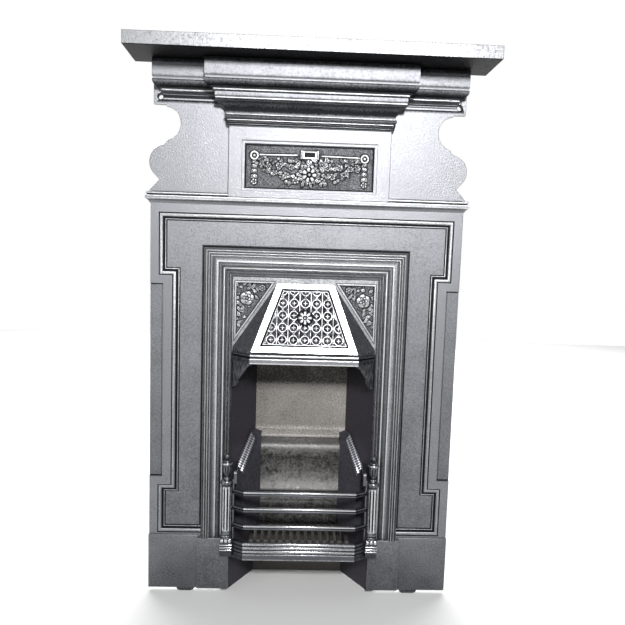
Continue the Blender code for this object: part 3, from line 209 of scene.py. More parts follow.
def arc(cx, cz, r, start, end, steps):
    """Points on a circle between two angles in degrees: centre + r * (cos, sin)."""
    t = np.radians(np.linspace(start, end, steps + 1))
    return [(cx + r * math.cos(a), cz + r * math.sin(a)) for a in t]


def flat_face(surfaces, loops, y, polish=0.5, towards=(0, -1, 0), across=False):
    """Flat area bounded by the first loop, with the other loops as holes, at one y (or at one z)."""
    joined = [tuple(p) for loop in loops for p in loop]
    place = (lambda p: (p[0], p[1], y)) if across else (lambda p: (p[0], y, p[1]))
    faces = tessellate_polygon([[Vector((a, b, 0.0)) for a, b in loop] for loop in loops])
    surfaces.take([place(p) for p in joined], [tuple(f) for f in faces], polish, towards)


def hump(cx, cy, rx, ry, start, end, steps):
    """Half round of a profile, from one angle to another: (cx - rx * cos, cy - ry * sin)."""
    t = np.radians(np.linspace(start, end, steps))
    return [(cx - rx * math.cos(a), cy - ry * math.sin(a)) for a in t]


def hollow_curve(cx, cy, rx, ry, start, end, steps):
    """Quarter hollow or half round that starts upright: (cx + rx * sin, cy + ry * cos)."""
    t = np.radians(np.linspace(start, end, steps))
    return [(cx + rx * math.sin(a), cy + ry * math.cos(a)) for a in t]


def flat_ring(points):
    """Faces that fill a ring of 2D points."""
    return [tuple(f) for f in tessellate_polygon([[Vector((a, b, 0)) for a, b in points]])]


def caps(surfaces, grid, polish=0.5):
    """Closes both ends of a sweep whose profile is a closed loop."""
    middle = grid.reshape(-1, 3).mean(axis=0)
    for ring in (grid[0], grid[-1]):
        faces = tessellate_polygon([[Vector(p) for p in ring]])
        surfaces.take(ring, [tuple(f) for f in faces], polish, ring.mean(axis=0) - middle)


# %% [markdown]
# Small blocks, such as plinths and the leaves of a post's foot, are boxes. A rounded box is a small
# ball cut into eight parts that are pushed out to the corners. This needs no Bevel modifier and
# keeps the number for buffing and painted shade at hand: it grows towards the rounded edges, which
# are buffed and carry a painted highlight.

# %% Rounded box
def soft_box(surfaces, low, high, radius=0.0012, polish=0.5, steps=3):
    """Box with rounded edges: eight octants of a small sphere, pushed apart to the box's corners."""
    low, high = np.minimum(low, high), np.maximum(low, high)
    centre, half = (low + high) / 2, (high - low) / 2
    radius = min(radius, 0.45 * half.min() * 2)
    turn = np.concatenate([np.linspace(0, 90, steps + 1) + 90 * q for q in range(4)])
    rise = np.concatenate([np.linspace(-90, 0, steps + 1), np.linspace(0, 90, steps + 1)])
    side = np.repeat(np.array([[1, 1], [-1, 1], [-1, -1], [1, -1]]), steps + 1, axis=0)
    up = np.repeat([-1, 1], steps + 1)
    t, r = np.radians(turn), np.radians(rise)
    shape = (len(r), len(t))
    ball = np.stack([np.cos(r)[:, None] * np.cos(t)[None], np.cos(r)[:, None] * np.sin(t)[None],
                     np.repeat(np.sin(r)[:, None], len(t), axis=1)], axis=2)
    corner = np.stack([np.broadcast_to(side[None, :, 0], shape), np.broadcast_to(side[None, :, 1], shape),
                       np.broadcast_to(up[:, None], shape)], axis=2)
    points = centre + corner * (half - radius) + ball * radius
    rows, columns = shape
    index = np.arange(rows * columns).reshape(rows, columns)
    index = np.concatenate([index, index[:, :1]], axis=1)
    quads = np.stack([index[:-1, :-1], index[:-1, 1:], index[1:, 1:], index[1:, :-1]], axis=-1)
    quads = quads.reshape(-1, 4)
    spots = points.reshape(-1, 3)
    outward = np.cross(spots[quads[:, 2]] - spots[quads[:, 0]], spots[quads[:, 3]] - spots[quads[:, 1]])
    middle = spots[quads].mean(axis=1) - centre
    flip = (outward * middle).sum(axis=1) < 0
    faces = [tuple(q[::-1]) if f else tuple(q) for q, f in zip(quads, flip)]
    ring = [q * (steps + 1) for q in range(4)]
    faces += [tuple(ring[::-1]), tuple((rows - 1) * columns + q for q in ring)]
    cube_corner = 0.577               # largest share of a unit direction that points at a corner
    shine = polish + (1.0 - polish) * 0.75 * (1 - np.abs(ball).max(axis=2)) / (1 - cube_corner)
    base = surfaces.count
    surfaces.faces += [tuple(int(i) + base for i in f) for f in faces]
    surfaces.points.append(spots)
    surfaces.polish.append(np.clip(shine, 0, 1).reshape(-1))
    surfaces.count += rows * columns

# %% [markdown]
# ## Relief
# Cast ornament is a height over a flat ground. Each motif below is a formula in x and z, and a
# panel is the highest of its motifs at every grid point, the way a carver leaves the ground and
# raises one form over another.

# %% Motifs of the relief
def dome(x, z, cx, cz, rx, rz, height, turn=0.0):
    """Half ellipsoid: height * sqrt(1 - (x'/rx)^2 - (z'/rz)^2), turned by an angle in degrees."""
    c, s = math.cos(math.radians(turn)), math.sin(math.radians(turn))
    a = ((x - cx) * c + (z - cz) * s) / rx
    b = (-(x - cx) * s + (z - cz) * c) / rz
    return height * np.sqrt(np.maximum(0.0, 1.0 - a * a - b * b))


def leaf(x, z, cx, cz, length, width, turn, height):
    """Pointed leaf from its foot at (cx, cz): width shrinks towards the tip, with a sunk midrib."""
    c, s = math.cos(math.radians(turn)), math.sin(math.radians(turn))
    along = ((x - cx) * c + (z - cz) * s) / length
    across = (-(x - cx) * s + (z - cz) * c)
    spread = width * np.sin(np.pi * np.clip(along, 0, 1) ** 0.75) + 1e-9
    body = np.maximum(0.0, 1.0 - (across / spread) ** 2) * ((along > 0) & (along < 1))
    rib = 1.0 - 0.55 * np.exp(-(across / (0.16 * width)) ** 2)
    return height * np.sqrt(body) * rib


def blossom(x, z, cx, cz, radius, petals, height, turn=0.0, eye=0.26):
    """Round flower: petals as lobes of cos(n*angle), a groove round the eye, and a domed eye."""
    rho = np.hypot(x - cx, z - cz) / radius
    angle = np.arctan2(x - cx, z - cz) + math.radians(turn)
    edge = 0.80 + 0.20 * np.abs(np.cos(petals * angle / 2)) ** 0.7
    cut = 0.45 + 0.55 * np.abs(np.cos(petals * angle / 2)) ** 0.6
    body = np.sqrt(np.maximum(0.0, 1.0 - (rho / edge) ** 4)) * cut * (0.55 + 0.45 * rho)
    heart = np.sqrt(np.maximum(0.0, 1.0 - (rho / eye) ** 2)) * 1.05
    groove = 1.0 - 0.6 * np.exp(-((rho - eye * 1.25) / 0.09) ** 2)
    return height * np.maximum(body * groove, heart)


def cord_line(x, z, line, width, height):
    """Rounded ridge along a polyline: height * sqrt(1 - (distance / width)^2)."""
    best = np.full(x.shape, 1e9)
    for (ax, az), (bx, bz) in zip(line, line[1:]):
        run = np.array([bx - ax, bz - az])
        share = np.clip(((x - ax) * run[0] + (z - az) * run[1]) / max(run @ run, 1e-12), 0, 1)
        best = np.minimum(best, np.hypot(x - ax - share * run[0], z - az - share * run[1]))
    return height * np.sqrt(np.maximum(0.0, 1.0 - (best / width) ** 2))


def foliage(x, z, spots):
    """Many leaves, the highest at each point. Spots are rows of foot x, foot z, length, width, turn
    and height."""
    best = np.zeros(x.shape)
    for spot in spots:
        best = np.maximum(best, leaf(x, z, *spot))
    return best


def relief_polish(height, spacing, reach=0.0022, gain=0.42):
    """Buffing and painted shade of a relief: its height less the mean height round it, by repeated
    neighbour means.
    """
    blur = height.copy()
    for _ in range(max(2, int((reach / spacing) ** 2 * 1.5))):
        pad = np.pad(blur, 1, mode="edge")
        blur = (pad[:-2, 1:-1] + pad[2:, 1:-1] + pad[1:-1, :-2] + pad[1:-1, 2:] + 2 * blur) / 6
    return np.clip(0.5 + gain * (height - blur) / MM, 0, 1)


def ridge(distance, half, height):
    """Ridge with a rounded top and steep flanks: height * sqrt(1 - (distance / half)^4)."""
    return height * np.sqrt(np.maximum(0.0, 1.0 - (distance / half) ** 4))


def lines(*parts):
    """Grid lines from (start, end, spacing) stretches."""
    made = []
    for start, end, spacing in parts:
        steps = max(1, int(round(abs(end - start) / spacing)))
        made += list(np.linspace(start, end, steps + 1))
    return np.unique(np.round(made, 6))

# %% [markdown]
# ## Materials
# The real fireplace is sand cast grey iron, brushed with graphite paste and buffed. The paste
# leaves a dark film in the hollows and the buffing leaves bright arrises, over the fine grain that
# the sand mould prints on every face. Painted shade deepens the hollows and painted highlights lift
# the arrises. One function makes each finish from its own colours.

# %% [markdown]
# Colours are written as hex codes, as in a paint program, and Blender wants them linear. Nodes are
# added by one function that names the sockets in its call, so a finish reads like a list.

# %% Colour and node helpers
def linear(code):
    """sRGB hex to linear red, green, blue, alpha."""
    values = [int(code[i:i + 2], 16) / 255 for i in (1, 3, 5)]
    return (*[v / 12.92 if v <= 0.04045 else ((v + 0.055) / 1.055) ** 2.4 for v in values], 1.0)


def add(tree, kind, settings=None, **sockets):
    """Adds a node, sets its properties, and sets or links its input sockets by name or number."""
    made = tree.nodes.new(kind)
    for key, value in (settings or {}).items():
        setattr(made, key, value)
    for key, value in sockets.items():
        numbered = key[0] == "_" and key[1:].isdigit()
        socket = made.inputs[int(key[1:]) if numbered else key.replace("_", " ")]
        if isinstance(value, bpy.types.NodeSocket):
            tree.links.new(value, socket)
        else:
            socket.default_value = value
    return made


def ramp(tree, factor, stops):
    """Colour of a factor, blended between (place, hex) stops."""
    made = add(tree, "ShaderNodeValToRGB", Fac=factor)
    bar = made.color_ramp
    while len(bar.elements) < len(stops):
        bar.elements.new(0.5)
    for element, (place, code) in zip(bar.elements, stops):
        element.position = place
        element.color = linear(code)
    return made.outputs["Color"]

# %% [markdown]
# A finish is read off the number for buffing and painted shade: hollows keep the dark paste and
# the painted shade, flats are dull grey and arrises shine with a painted highlight. Three noises add
# the grain of the sand, flecks and broad patches. They read Object coordinates, so their size is
# real. A fade changes the number between two heights; most fades are painted shade, under the
# shelf, under the hood, below the grate and towards the floor.

# %% Cast iron finishes
SAND_CELL = 2.2                   # widths of a noise cell, in grains
FLECK_CELL = 5.0
PATCH_SCALE = 14.0                # noise cells a metre: patches of about 70 mm


def cast_iron(name, hollow, flat, rubbed_and_lit, roughness, metallic=0.9, grain=1.4, grain_depth=0.10,
              mottle=0.30, worked=True, fades=(), fade_depth=1.0):
    """Graphite polished iron. hollow, flat and the arris colour are its colours from recess to arris;
    the hollow colour also stands for painted shade and the arris colour for painted highlights. grain
    is the sand grain in mm; mottle is how much the level varies in patches of 5 to 60 mm; each of the
    fades gives two heights and how much of the level is lost at the lower and at the upper one, on
    the faces in front of fade_depth."""
    made = bpy.data.materials.new(name)
    made.use_nodes = True
    tree = made.node_tree
    shader = tree.nodes["Principled BSDF"]
    place = add(tree, "ShaderNodeTexCoord").outputs["Object"]
    sand = add(tree, "ShaderNodeTexNoise", Vector=place, Scale=1000 / (grain * SAND_CELL), Detail=3.0,
               Roughness=0.6).outputs["Fac"]
    speck = add(tree, "ShaderNodeTexNoise", Vector=place, Scale=1000 / (grain * FLECK_CELL), Detail=4.0,
                Roughness=0.7).outputs["Fac"]
    patch = add(tree, "ShaderNodeTexNoise", Vector=place, Scale=PATCH_SCALE, Detail=5.0,
                Roughness=0.62).outputs["Fac"]
    spread = add(tree, "ShaderNodeMath", {"operation": 'MULTIPLY_ADD'}, _0=patch, _1=0.6 * mottle,
                 _2=-0.3 * mottle).outputs[0]
    fleck = add(tree, "ShaderNodeMath", {"operation": 'MULTIPLY_ADD'}, _0=speck, _1=mottle * 1.6,
                _2=spread).outputs[0]
    if worked:
        wear_and_shade = add(tree, "ShaderNodeAttribute", {"attribute_name": "polish"}).outputs["Fac"]
        level = add(tree, "ShaderNodeMath", {"operation": 'ADD'}, _0=wear_and_shade, _1=fleck).outputs[0]
        level = add(tree, "ShaderNodeMath", {"operation": 'SUBTRACT', "use_clamp": True}, _0=level,
                    _1=mottle * 0.8).outputs[0]
    else:
        level = add(tree, "ShaderNodeMath", {"operation": 'ADD', "use_clamp": True}, _0=fleck,
                    _1=0.5 - mottle * 0.8).outputs[0]
    # each fade lowers the level between two heights; most fades are painted shade
    for low, high, lost_low, lost_high in fades:
        where = add(tree, "ShaderNodeSeparateXYZ", Vector=place).outputs
        loss = add(tree, "ShaderNodeMapRange", Value=where["Z"], From_Min=low, From_Max=high,
                   To_Min=lost_low, To_Max=lost_high).outputs[0]
        front = add(tree, "ShaderNodeMath", {"operation": 'LESS_THAN'}, _0=where["Y"],
                    _1=fade_depth).outputs[0]
        loss = add(tree, "ShaderNodeMath", {"operation": 'MULTIPLY'}, _0=loss, _1=front).outputs[0]
        level = add(tree, "ShaderNodeMath", {"operation": 'SUBTRACT', "use_clamp": True}, _0=level,
                    _1=loss).outputs[0]
    colour = ramp(tree, level, [(0.08, hollow), (0.47, flat), (0.62, flat), (0.92, rubbed_and_lit)])
    tree.links.new(colour, shader.inputs["Base Color"])
    shine = add(tree, "ShaderNodeMapRange", Value=level, From_Min=0.1, From_Max=0.9,
                To_Min=min(roughness + 0.18, 0.95), To_Max=max(roughness - 0.10, 0.12)).outputs[0]
    tree.links.new(shine, shader.inputs["Roughness"])
    shader.inputs["Metallic"].default_value = metallic
    bump = add(tree, "ShaderNodeBump", Strength=0.55, Distance=grain_depth * MM, Height=sand)
    coarse = add(tree, "ShaderNodeBump", Strength=0.5, Distance=grain_depth * 2.5 * MM, Height=speck,
                 Normal=bump.outputs["Normal"])
    tree.links.new(coarse.outputs["Normal"], shader.inputs["Normal"])
    return made

# %% [markdown]
# Hands and a brush reach the surround, the shelf, the hood and the bars. Their iron is graphite
# polished: grey with a soft gloss on the flats, near black in the hollows with paste and painted
# shade, and almost silver on the arrises, buffed and with painted highlights. The flats are painted
# darker towards the floor, as painted shade.

# %% Polished finishes
# sand cast plate: a coarse grain breaks the gloss up, so it looks like brushed grey leather
# painted shade: the first two fades darken the plate towards the floor and on the plinths; the third makes
# the upper plate a little darker
plate_iron = cast_iron("graphite_polished_cast_iron", "#242528", "#85868a", "#dcdddd", 0.42, grain=0.8,
                       grain_depth=0.42, mottle=0.34,
                       fades=[(0.02, 1.00, 0.17, 0.0), (0.05, 0.17, 0.05, 0.0), (0.985, 1.03, 0.0, 0.045)])
# smooth shelf: dark blotches of old paste in a bright grey; painted shade makes its underside
# much darker
shelf_iron = cast_iron("mottled_shelf_iron", "#0c0c0e", "#939497", "#dcdddd", 0.42, mottle=0.6,
                       grain_depth=0.25, worked=False, fades=[(1.3072, 1.3085, 0.9, 0.0)])
# hood: buffed most of all, so its border is bright, with painted highlights; the ground of its panel
# is black with paste and painted shade
hood_iron = cast_iron("buffed_hood_iron", "#0e0e11", "#8e8f94", "#e4e4e5", 0.34, grain_depth=0.2)
# bars: dark between their reeds, with thin bright lines on the edges; each bar's upper half is
# painted lighter and its lower half darker, as painted light and shade
bar_iron = cast_iron("buffed_bar_iron", "#17171b", "#66676c", "#d4d5d7", 0.34, grain_depth=0.15)
print("polished finishes:", [m.name for m in (plate_iron, shelf_iron, hood_iron, bar_iron)])

# %% [markdown]
# Inside the fire the iron is no longer polished. Soot, ash dust and scale lie on it, so its metallic
# share is low and its roughness high. Right under the hood a band of painted shadow, the hood's
# shadow, makes it darker still, and dust lies on the ledge over the fireback. Low on the back plate,
# below the grate, painted shade darkens it too.

# %% Finishes of the fire chamber
# cheeks: matt violet black that hardly mirrors anything; the fade paints the hood's shadow on their
# upper part
chamber_iron = cast_iron("sooted_and_shaded_cheek_iron", "#121114", "#413e45", "#5d5a62", 0.52, metallic=0.6,
                         worked=False, fades=[(0.50, 0.57, 0.0, 0.30)])
# back plate: a warm grey film of dust over rough scale, quite dull; the first fade is painted shade
# below the grate, the second is the hood's painted shadow, and the third, for the dust on the
# ledge, makes it paler below 0.402 m
fireback_iron = cast_iron("dusty_and_shaded_fireback_iron", "#33302d", "#7d7a75", "#b3b0ac", 0.62, metallic=0.2,
                          grain=0.8, grain_depth=0.35, mottle=0.9, worked=False,
                          fades=[(0.13, 0.20, 0.6, 0.0), (0.519, 0.531, 0.0, 0.36),
                                 (0.402, 0.412, -0.30, 0.0)], fade_depth=0.128)
# fireback casting: burnt and pitted, with its nose painted pale as painted light
brick_iron = cast_iron("pitted_fireback_iron", "#2c2a29", "#7c7b7a", "#dddcda", 0.50, metallic=0.6,
                       grain=1.1, grain_depth=0.5, mottle=0.5)
# side bricks: dark blue grey, with bright studs
side_iron = cast_iron("ribbed_side_iron", "#17171a", "#55555e", "#e0e1e8", 0.45, metallic=0.5)
# grate: brown grey scale without gloss
grate_iron = cast_iron("burnt_grate_iron", "#1d1b1a", "#575452", "#9a9693", 0.55, metallic=0.5,
                       mottle=0.5, worked=False)
chamber = (chamber_iron, fireback_iron, brick_iron, side_iron, grate_iron)
print("chamber finishes:", [m.name for m in chamber])

# %% [markdown]
# ## The surround
# The lower body is a plate with a sunk field. The field has ears at its corners, so its moulding
# turns twelve times. The flat parts are cut from one outline each, and every moulding is swept:
# this keeps the mitres sharp, which a displaced plane would not.

# %% Sunk field and its moulding
EAR = 0.3395                      # half width of the field at an ear
WAIST = 0.3070                    # half width between the ears
FIELD_FOOT = 0.250                # the plinth blocks start here
FIELD_DEPTH = 0.0071
FIELD = [(FIELD_FOOT, 0.1745), (EAR, 0.1745), (EAR, 0.2605), (WAIST, 0.2605), (WAIST, 0.8255),
         (EAR, 0.8255), (EAR, 0.9375)]
FIELD = FIELD + [(-x, z) for x, z in reversed(FIELD)]
# lip, flat band, deep groove, bead and small groove, in mm from the field outwards and inwards in y
FIELD_EDGE = [(20.1, -0.1), (19.7, 0.0), (19.4, 1.8), (17.9, 2.0), (17.2, 1.2), (15.6, 0.7), (12.6, 0.9),
              (10.8, 1.8), (9.6, 2.8), (9.2, 5.6), (8.4, 6.8), (6.0, 6.9), (5.3, 6.4), (4.9, 5.0),
              (4.1, 4.4), (3.2, 4.5), (2.6, 5.2), (2.3, 6.8), (1.2, 7.3), (0.0, 7.3), (-1.0, 7.1)]
# shade and buffing along it: black in both grooves and behind the lip as painted shade, bright on
# the band and the bead
EDGE_AT = [-1.0, 0.0, 0.3, 2.3, 2.7, 3.0, 4.6, 5.0, 5.4, 9.2, 9.8, 10.6, 16.8, 17.4, 17.8, 19.5, 19.8]
EDGE_SHADE_AND_POLISH = [0.47, 0.4, 0.0, 0.0, 0.5, 0.8, 0.8, 0.3, 0.0, 0.0, 0.4, 0.7, 0.8, 0.4, 0.0, 0.0, 0.6]

surround = Surfaces()
edge = eased(FIELD_EDGE, 0.5, 1.2)
surround.grid(sweep(FIELD, edge * MM, upright=True), np.interp(edge[:, 0], EDGE_AT, EDGE_SHADE_AND_POLISH)[None])
opening_head = [(-0.2488, 0.876), (0.2488, 0.876)]
flat_face(surround, [FIELD + opening_head], FIELD_DEPTH, 0.47)
print("field moulding:", len(edge), "points on", len(FIELD), "corners")

# %% [markdown]
# Outside the field lies the plate's own face. A long shallow strip is sunk into it along each edge
# of the body, with a groove at its two ends that is painted black: it stands for the shadow along
# the strip's ends. Both halves of the plate are the same outline, mirrored, so one loop makes them.

# %% Plate face and edge strips
STRIP_X = 0.3485                  # inner edge of a strip
STRIP_LOW = 0.302
STRIP_TOP = 0.7855
STRIP_Y = 0.004                   # depth of a strip
STRIP_GROOVE = 0.0034             # groove inside a strip's outline
PLATE_LOW = 0.144                 # the plate goes on behind the plinths
OUTER = HALF - 0.001              # flat faces stop where the rounded corner starts
STRIP_OUTER = HALF - 0.0008

lip = offset_line(FIELD, 0.0199)
half_lip = [tuple(p) for p in lip[:len(lip) // 2]]
rim = half_lip + [(0.0, half_lip[-1][1]), (0.0, BODY_TOP + 0.001), (OUTER, BODY_TOP + 0.001),
                  (OUTER, STRIP_TOP), (STRIP_X, STRIP_TOP), (STRIP_X, STRIP_LOW), (OUTER, STRIP_LOW),
                  (OUTER, PLATE_LOW), (FIELD_FOOT, PLATE_LOW)]
strip = [(STRIP_X + STRIP_GROOVE, STRIP_LOW + STRIP_GROOVE), (STRIP_OUTER, STRIP_LOW + STRIP_GROOVE),
         (STRIP_OUTER, STRIP_TOP - STRIP_GROOVE), (STRIP_X + STRIP_GROOVE, STRIP_TOP - STRIP_GROOVE)]
step = [(-0.6, 0.0), (0.0, 0.0), (0.2, 4.0), (0.5, 5.2), (2.6, 5.2), (3.2, 4.0), (3.6, 3.9)]
step = eased(step, 0.5, 1.0) * MM
wall = [(STRIP_OUTER, STRIP_LOW), (STRIP_X, STRIP_LOW), (STRIP_X, STRIP_LOW + 0.004),
        (STRIP_X, STRIP_TOP - 0.004), (STRIP_X, STRIP_TOP), (STRIP_OUTER, STRIP_TOP)]
# painted shadow: the groove is black at the strip's two ends and grey along its inner side
painted_end_shadow = np.array([0.0, 0.0, 0.4, 0.4, 0.0, 0.0])[:, None]
groove = np.where(step[:, 1] > 0.0041, painted_end_shadow, 0.55)
stretches = ((PLATE_LOW, STRIP_LOW, 0.0), (STRIP_LOW, STRIP_TOP, STRIP_Y),
             (STRIP_TOP, BODY_TOP + 0.002, 0.0))
for side in (1, -1):
    flat_face(surround, [[(side * x, z) for x, z in rim]], 0.0, 0.56)
    flat_face(surround, [[(side * x, z) for x, z in strip]], STRIP_Y, 0.44)
    surround.grid(sweep([(side * x, z) for x, z in wall], step * (side, 1.0), upright=True), groove)
    for low, high, front in stretches:
        corner = [(-1.4, front / MM), (0.0, front / MM), (0.0, 16.0), (-1.4, 16.0)]
        corner = eased(corner, 0.9, 2.0) * MM
        rise = np.array([(side * HALF, low), (side * HALF, high)])
        worn_and_shaded = np.clip(1 - (corner[:, 1] - front) / 0.004, 0.5, 0.95)
        surround.grid(sweep(rise, corner * (side, 1), upright=True), worn_and_shaded, (side, 0, 0))
FOOT, PLATE_HEAD = 0.0105, 0.9985
back_outline = [(OPEN_HALF, FOOT), (OUTER, FOOT), (OUTER, PLATE_HEAD), (-OUTER, PLATE_HEAD),
                (-OUTER, FOOT), (-OPEN_HALF, FOOT), (-OPEN_HALF, OPEN_TOP), (OPEN_HALF, OPEN_TOP)]
flat_face(surround, [back_outline], BACK, 0.3, BEHIND)
print("edge strips:", round((STRIP_TOP - STRIP_LOW) / MM), "mm long,", STRIP_Y / MM, "mm deep")

# %% [markdown]
# The moulding round the opening is a bolection: it stands proud of the field. From the opening
# outwards it has three small steps, a round, a hollow and three beads. One section swept round the
# three sides gives all of it, with true mitres at the top corners.

# %% Bolection
steps_in = []
for k in range(3):
    left, face = 0.4 + 6.6 * k, 8.7 - 2.6 * k
    steps_in += hump(left + 2.9, face + 1.9, 2.8, 1.9, 0, 180, 9) + [(left + 6.1, face + 2.2)]
torus = hump(30.0, 4.4, 6.2, 7.4, 0, 180, 19)
scotia = hollow_curve(37.0, -8.5, 13.0, 13.0, 4, 88, 13)
beads = []
for k in range(3):
    beads += hump(54.2 + 6.0 * k, -7.6, 2.7, 2.9, 0, 180, 9)
section = [(0.0, 15.2), (0.0, 12.5)] + steps_in + [(20.4, 9.2), (23.3, 9.2)] + torus + scotia + beads
section += [(70.0, -6.4), (70.7, 5.4), (72.4, 6.6), (73.3, 4.7), (75.1, 4.7), (75.9, 6.6), (76.2, 7.4)]
section = eased(section, 0.35, 1.6)
LEG_FOOT = 0.1435
leg = [(OPEN_HALF, LEG_FOOT), (OPEN_HALF, OPEN_TOP), (-OPEN_HALF, OPEN_TOP), (-OPEN_HALF, LEG_FOOT)]
across = section[:, 0]
shine = np.clip(proudness(section * (1, -1), 3.2, 0.62) + 0.12, 0, 1)
# the three outer beads are made brighter, and the groove outside them is painted black as painted shade
shine = np.where((across > 51) & (across < 69.5), np.clip(1.7 * shine, 0.15, 1), shine)
shine = np.where((across > 69.8) & (across < 73.0), 0.0, shine)
surround.grid(sweep(leg, section * MM, upright=True), shine[None])
inner = eased([(0.0, 12.4), (0.0, 16.0), (8.0, 16.0)], 0.4, 2.0) * MM
surround.grid(sweep(leg, inner, upright=True), 0.3, BEHIND)
print("bolection:", across.max(), "mm wide,", round(float(-section[:, 1].min()), 1), "mm proud")

# %% [markdown]
# A string course parts the lower body from the upper plate. Its profile of a fillet, a hollow and a
# round runs along the front and returns at both ends, so its path is a belt with two corners.

# %% String course
course = [(-4.0, -0.5), (0.4, -0.5), (1.6, 1.6), (3.2, 3.9), (5.2, 6.4), (7.6, 8.2), (9.4, 8.8),
          (11.0, 10.2), (11.0, 17.6), (9.6, 18.8), (6.8, 19.1), (6.8, 21.0), (8.4, 21.4), (9.5, 22.8),
          (9.6, 24.6), (8.6, 26.4), (6.4, 27.6), (2.0, 28.6), (-4.0, 28.9)]
course = eased(course, 0.45, 1.5)
belt = [(-HALF, BACK), (-HALF, 0.0), (HALF, 0.0), (HALF, BACK)]
surround.grid(sweep(belt, course * MM + (0, BODY_TOP)), proudness(course, 3.0, 0.6))
print("string course:", course[:, 1].max(), "mm high")

# %% [markdown]
# The upper plate is a flat with a scrolled outline: a short slope, a round lobe, a notch and a
# scoop on each side, then a lug with a screw hole. The outline is drawn once as arcs and lines. Its
# rounded rim is swept along it, and the hole is countersunk.

# %% Upper plate with its scrolled sides and lugs
LOBE = (0.3415, 1.0745)           # centres of the lobe and of the scoop above it
SCOOP = (0.349, 1.166)
HOLE = (0.357, 1.226)
right_edge = [(0.384, 1.0045), (0.3842, 1.0065), (0.3595, 1.0328)]
right_edge += arc(*LOBE, 0.0415, -42.6, 68.6, 20)[1:]
right_edge += [(0.3478, 1.1160)]
right_edge += arc(*SCOOP, 0.040, 254.7, 97.2, 26)
right_edge += [(0.3440, 1.2088), (0.3730, 1.2092), (0.3730, CORNICE_TOP)]
holes = {s: arc(s * HOLE[0], HOLE[1], 0.006, 0, 345, 23) for s in (1, -1)}
sinks = {s: arc(s * HOLE[0], HOLE[1], 0.0080, 0, 345, 23) for s in (1, -1)}
front_edge = [tuple(p) for p in offset_line(right_edge, -0.0011)]
front_outline = front_edge + [(-x, z) for x, z in reversed(front_edge)]
flat_face(surround, [front_outline, sinks[1], sinks[-1]], 0.0, 0.60)
rim = [(-1.4, 0.0), (-1.1, 0.0), (0.0, 1.0), (0.0, 15.2), (-0.8, 16.0), (-1.4, 16.0)]
rim = eased(rim, 0.7, 3.0) * MM
worn_and_shaded = np.clip(1.0 - rim[:, 1] / 0.006, 0.45, 1.0)
for side in (1, -1):
    line = [(side * x, z) for x, z in right_edge]
    surround.grid(sweep(line, rim * (side, 1), upright=True), worn_and_shaded, (side, 0, 0))
    rings = [(sinks[side], 0.0), (holes[side], 0.0030), (holes[side], BACK)]
    bore = np.array([[(x, y, z) for x, z in ring] for ring, y in rings])
    surround.grid(bore, 0.0, (0, 0, 0), closed=True)
print("upper plate outline:", len(right_edge), "points a side")

# %% [markdown]
# A casting is hollow where it can be, to save iron and to cool evenly. Behind the upper plate lies
# one pocket with a rim round it, and a deeper room lies behind each step of the cornice.

# %% Pocket behind the upper plate
POCKET_Y = 0.008                  # metal left in front of the pocket
pocket = [(0.370, 1.0065), (0.3515, 1.0328)] + arc(*LOBE, 0.0335, -42.6, 68.6, 9)
pocket += [(0.3396, 1.1159)] + arc(*SCOOP, 0.048, 254.7, 97.2, 12) + [(0.336, CORNICE_TOP - 0.008)]
pocket = pocket + [(-x, z) for x, z in reversed(pocket)]
outer = [tuple(p) for p in offset_line(right_edge, -0.001)]
outer = [(outer[0][0], 0.998)] + outer
back_rim = outer + [(-x, z) for x, z in reversed(outer)]
flat_face(surround, [back_rim, pocket, holes[1], holes[-1]], BACK, 0.3, BEHIND)
wall = np.array([[(x, BACK, z), (x, POCKET_Y, z)] for x, z in pocket + pocket[:1]]).transpose(1, 0, 2)
surround.grid(wall, 0.25, (0, 0, 0))
hollow = [(0.334, 1.2622), (0.2375, 1.2622), (0.2375, 1.2477), (0.188, 1.2477), (0.188, 1.1887)]
hollow = hollow + [(-x, z) for x, z in reversed(hollow)]
flat_face(surround, [pocket, hollow + [(-0.334, 1.298), (0.334, 1.298)]], POCKET_Y, 0.25, BEHIND)
print("pocket:", round((BACK - POCKET_Y) / MM), "mm deep")

# %% [markdown]
# The cornice breaks forward in the middle. Its upper mouldings run the whole width round the
# break. Under the break a hollow, a bead and three thin fillets lead down to the frieze. Heights in
# both profiles are counted down from the cornice's top, as a joiner would draw them.

# %% Upper mouldings of the cornice
DOWN = np.array([1.0, -1.0])      # turns a drop into a height
upper = [(-4.0, 0.6), (30.0, 0.6), (30.0, 40.6), (28.6, 42.2), (28.2, 46.4), (29.6, 47.4)]
quarter = np.radians(np.linspace(4, 88, 11))
upper += [(19.8 + 10.0 * math.cos(t), 48.8 + 12.2 * math.sin(t)) for t in quarter]
upper += [(14.4, 61.3), (14.2, 62.6), (17.0, 62.8), (17.0, 65.2), (10.6, 65.4), (10.6, 68.1), (12.6, 68.4),
          (12.6, 71.8), (5.2, 73.2), (0.4, 75.0), (-4.0, 75.0)]
upper = eased(upper, 0.5, 2.0)
BED, BREAK, BREAK_Y = 0.342, 0.2175, -0.0315
turns = [(-BED, BACK), (-BED, 0.0), (-BREAK, 0.0), (-BREAK, BREAK_Y), (BREAK, BREAK_Y), (BREAK, 0.0),
         (BED, 0.0), (BED, BACK)]
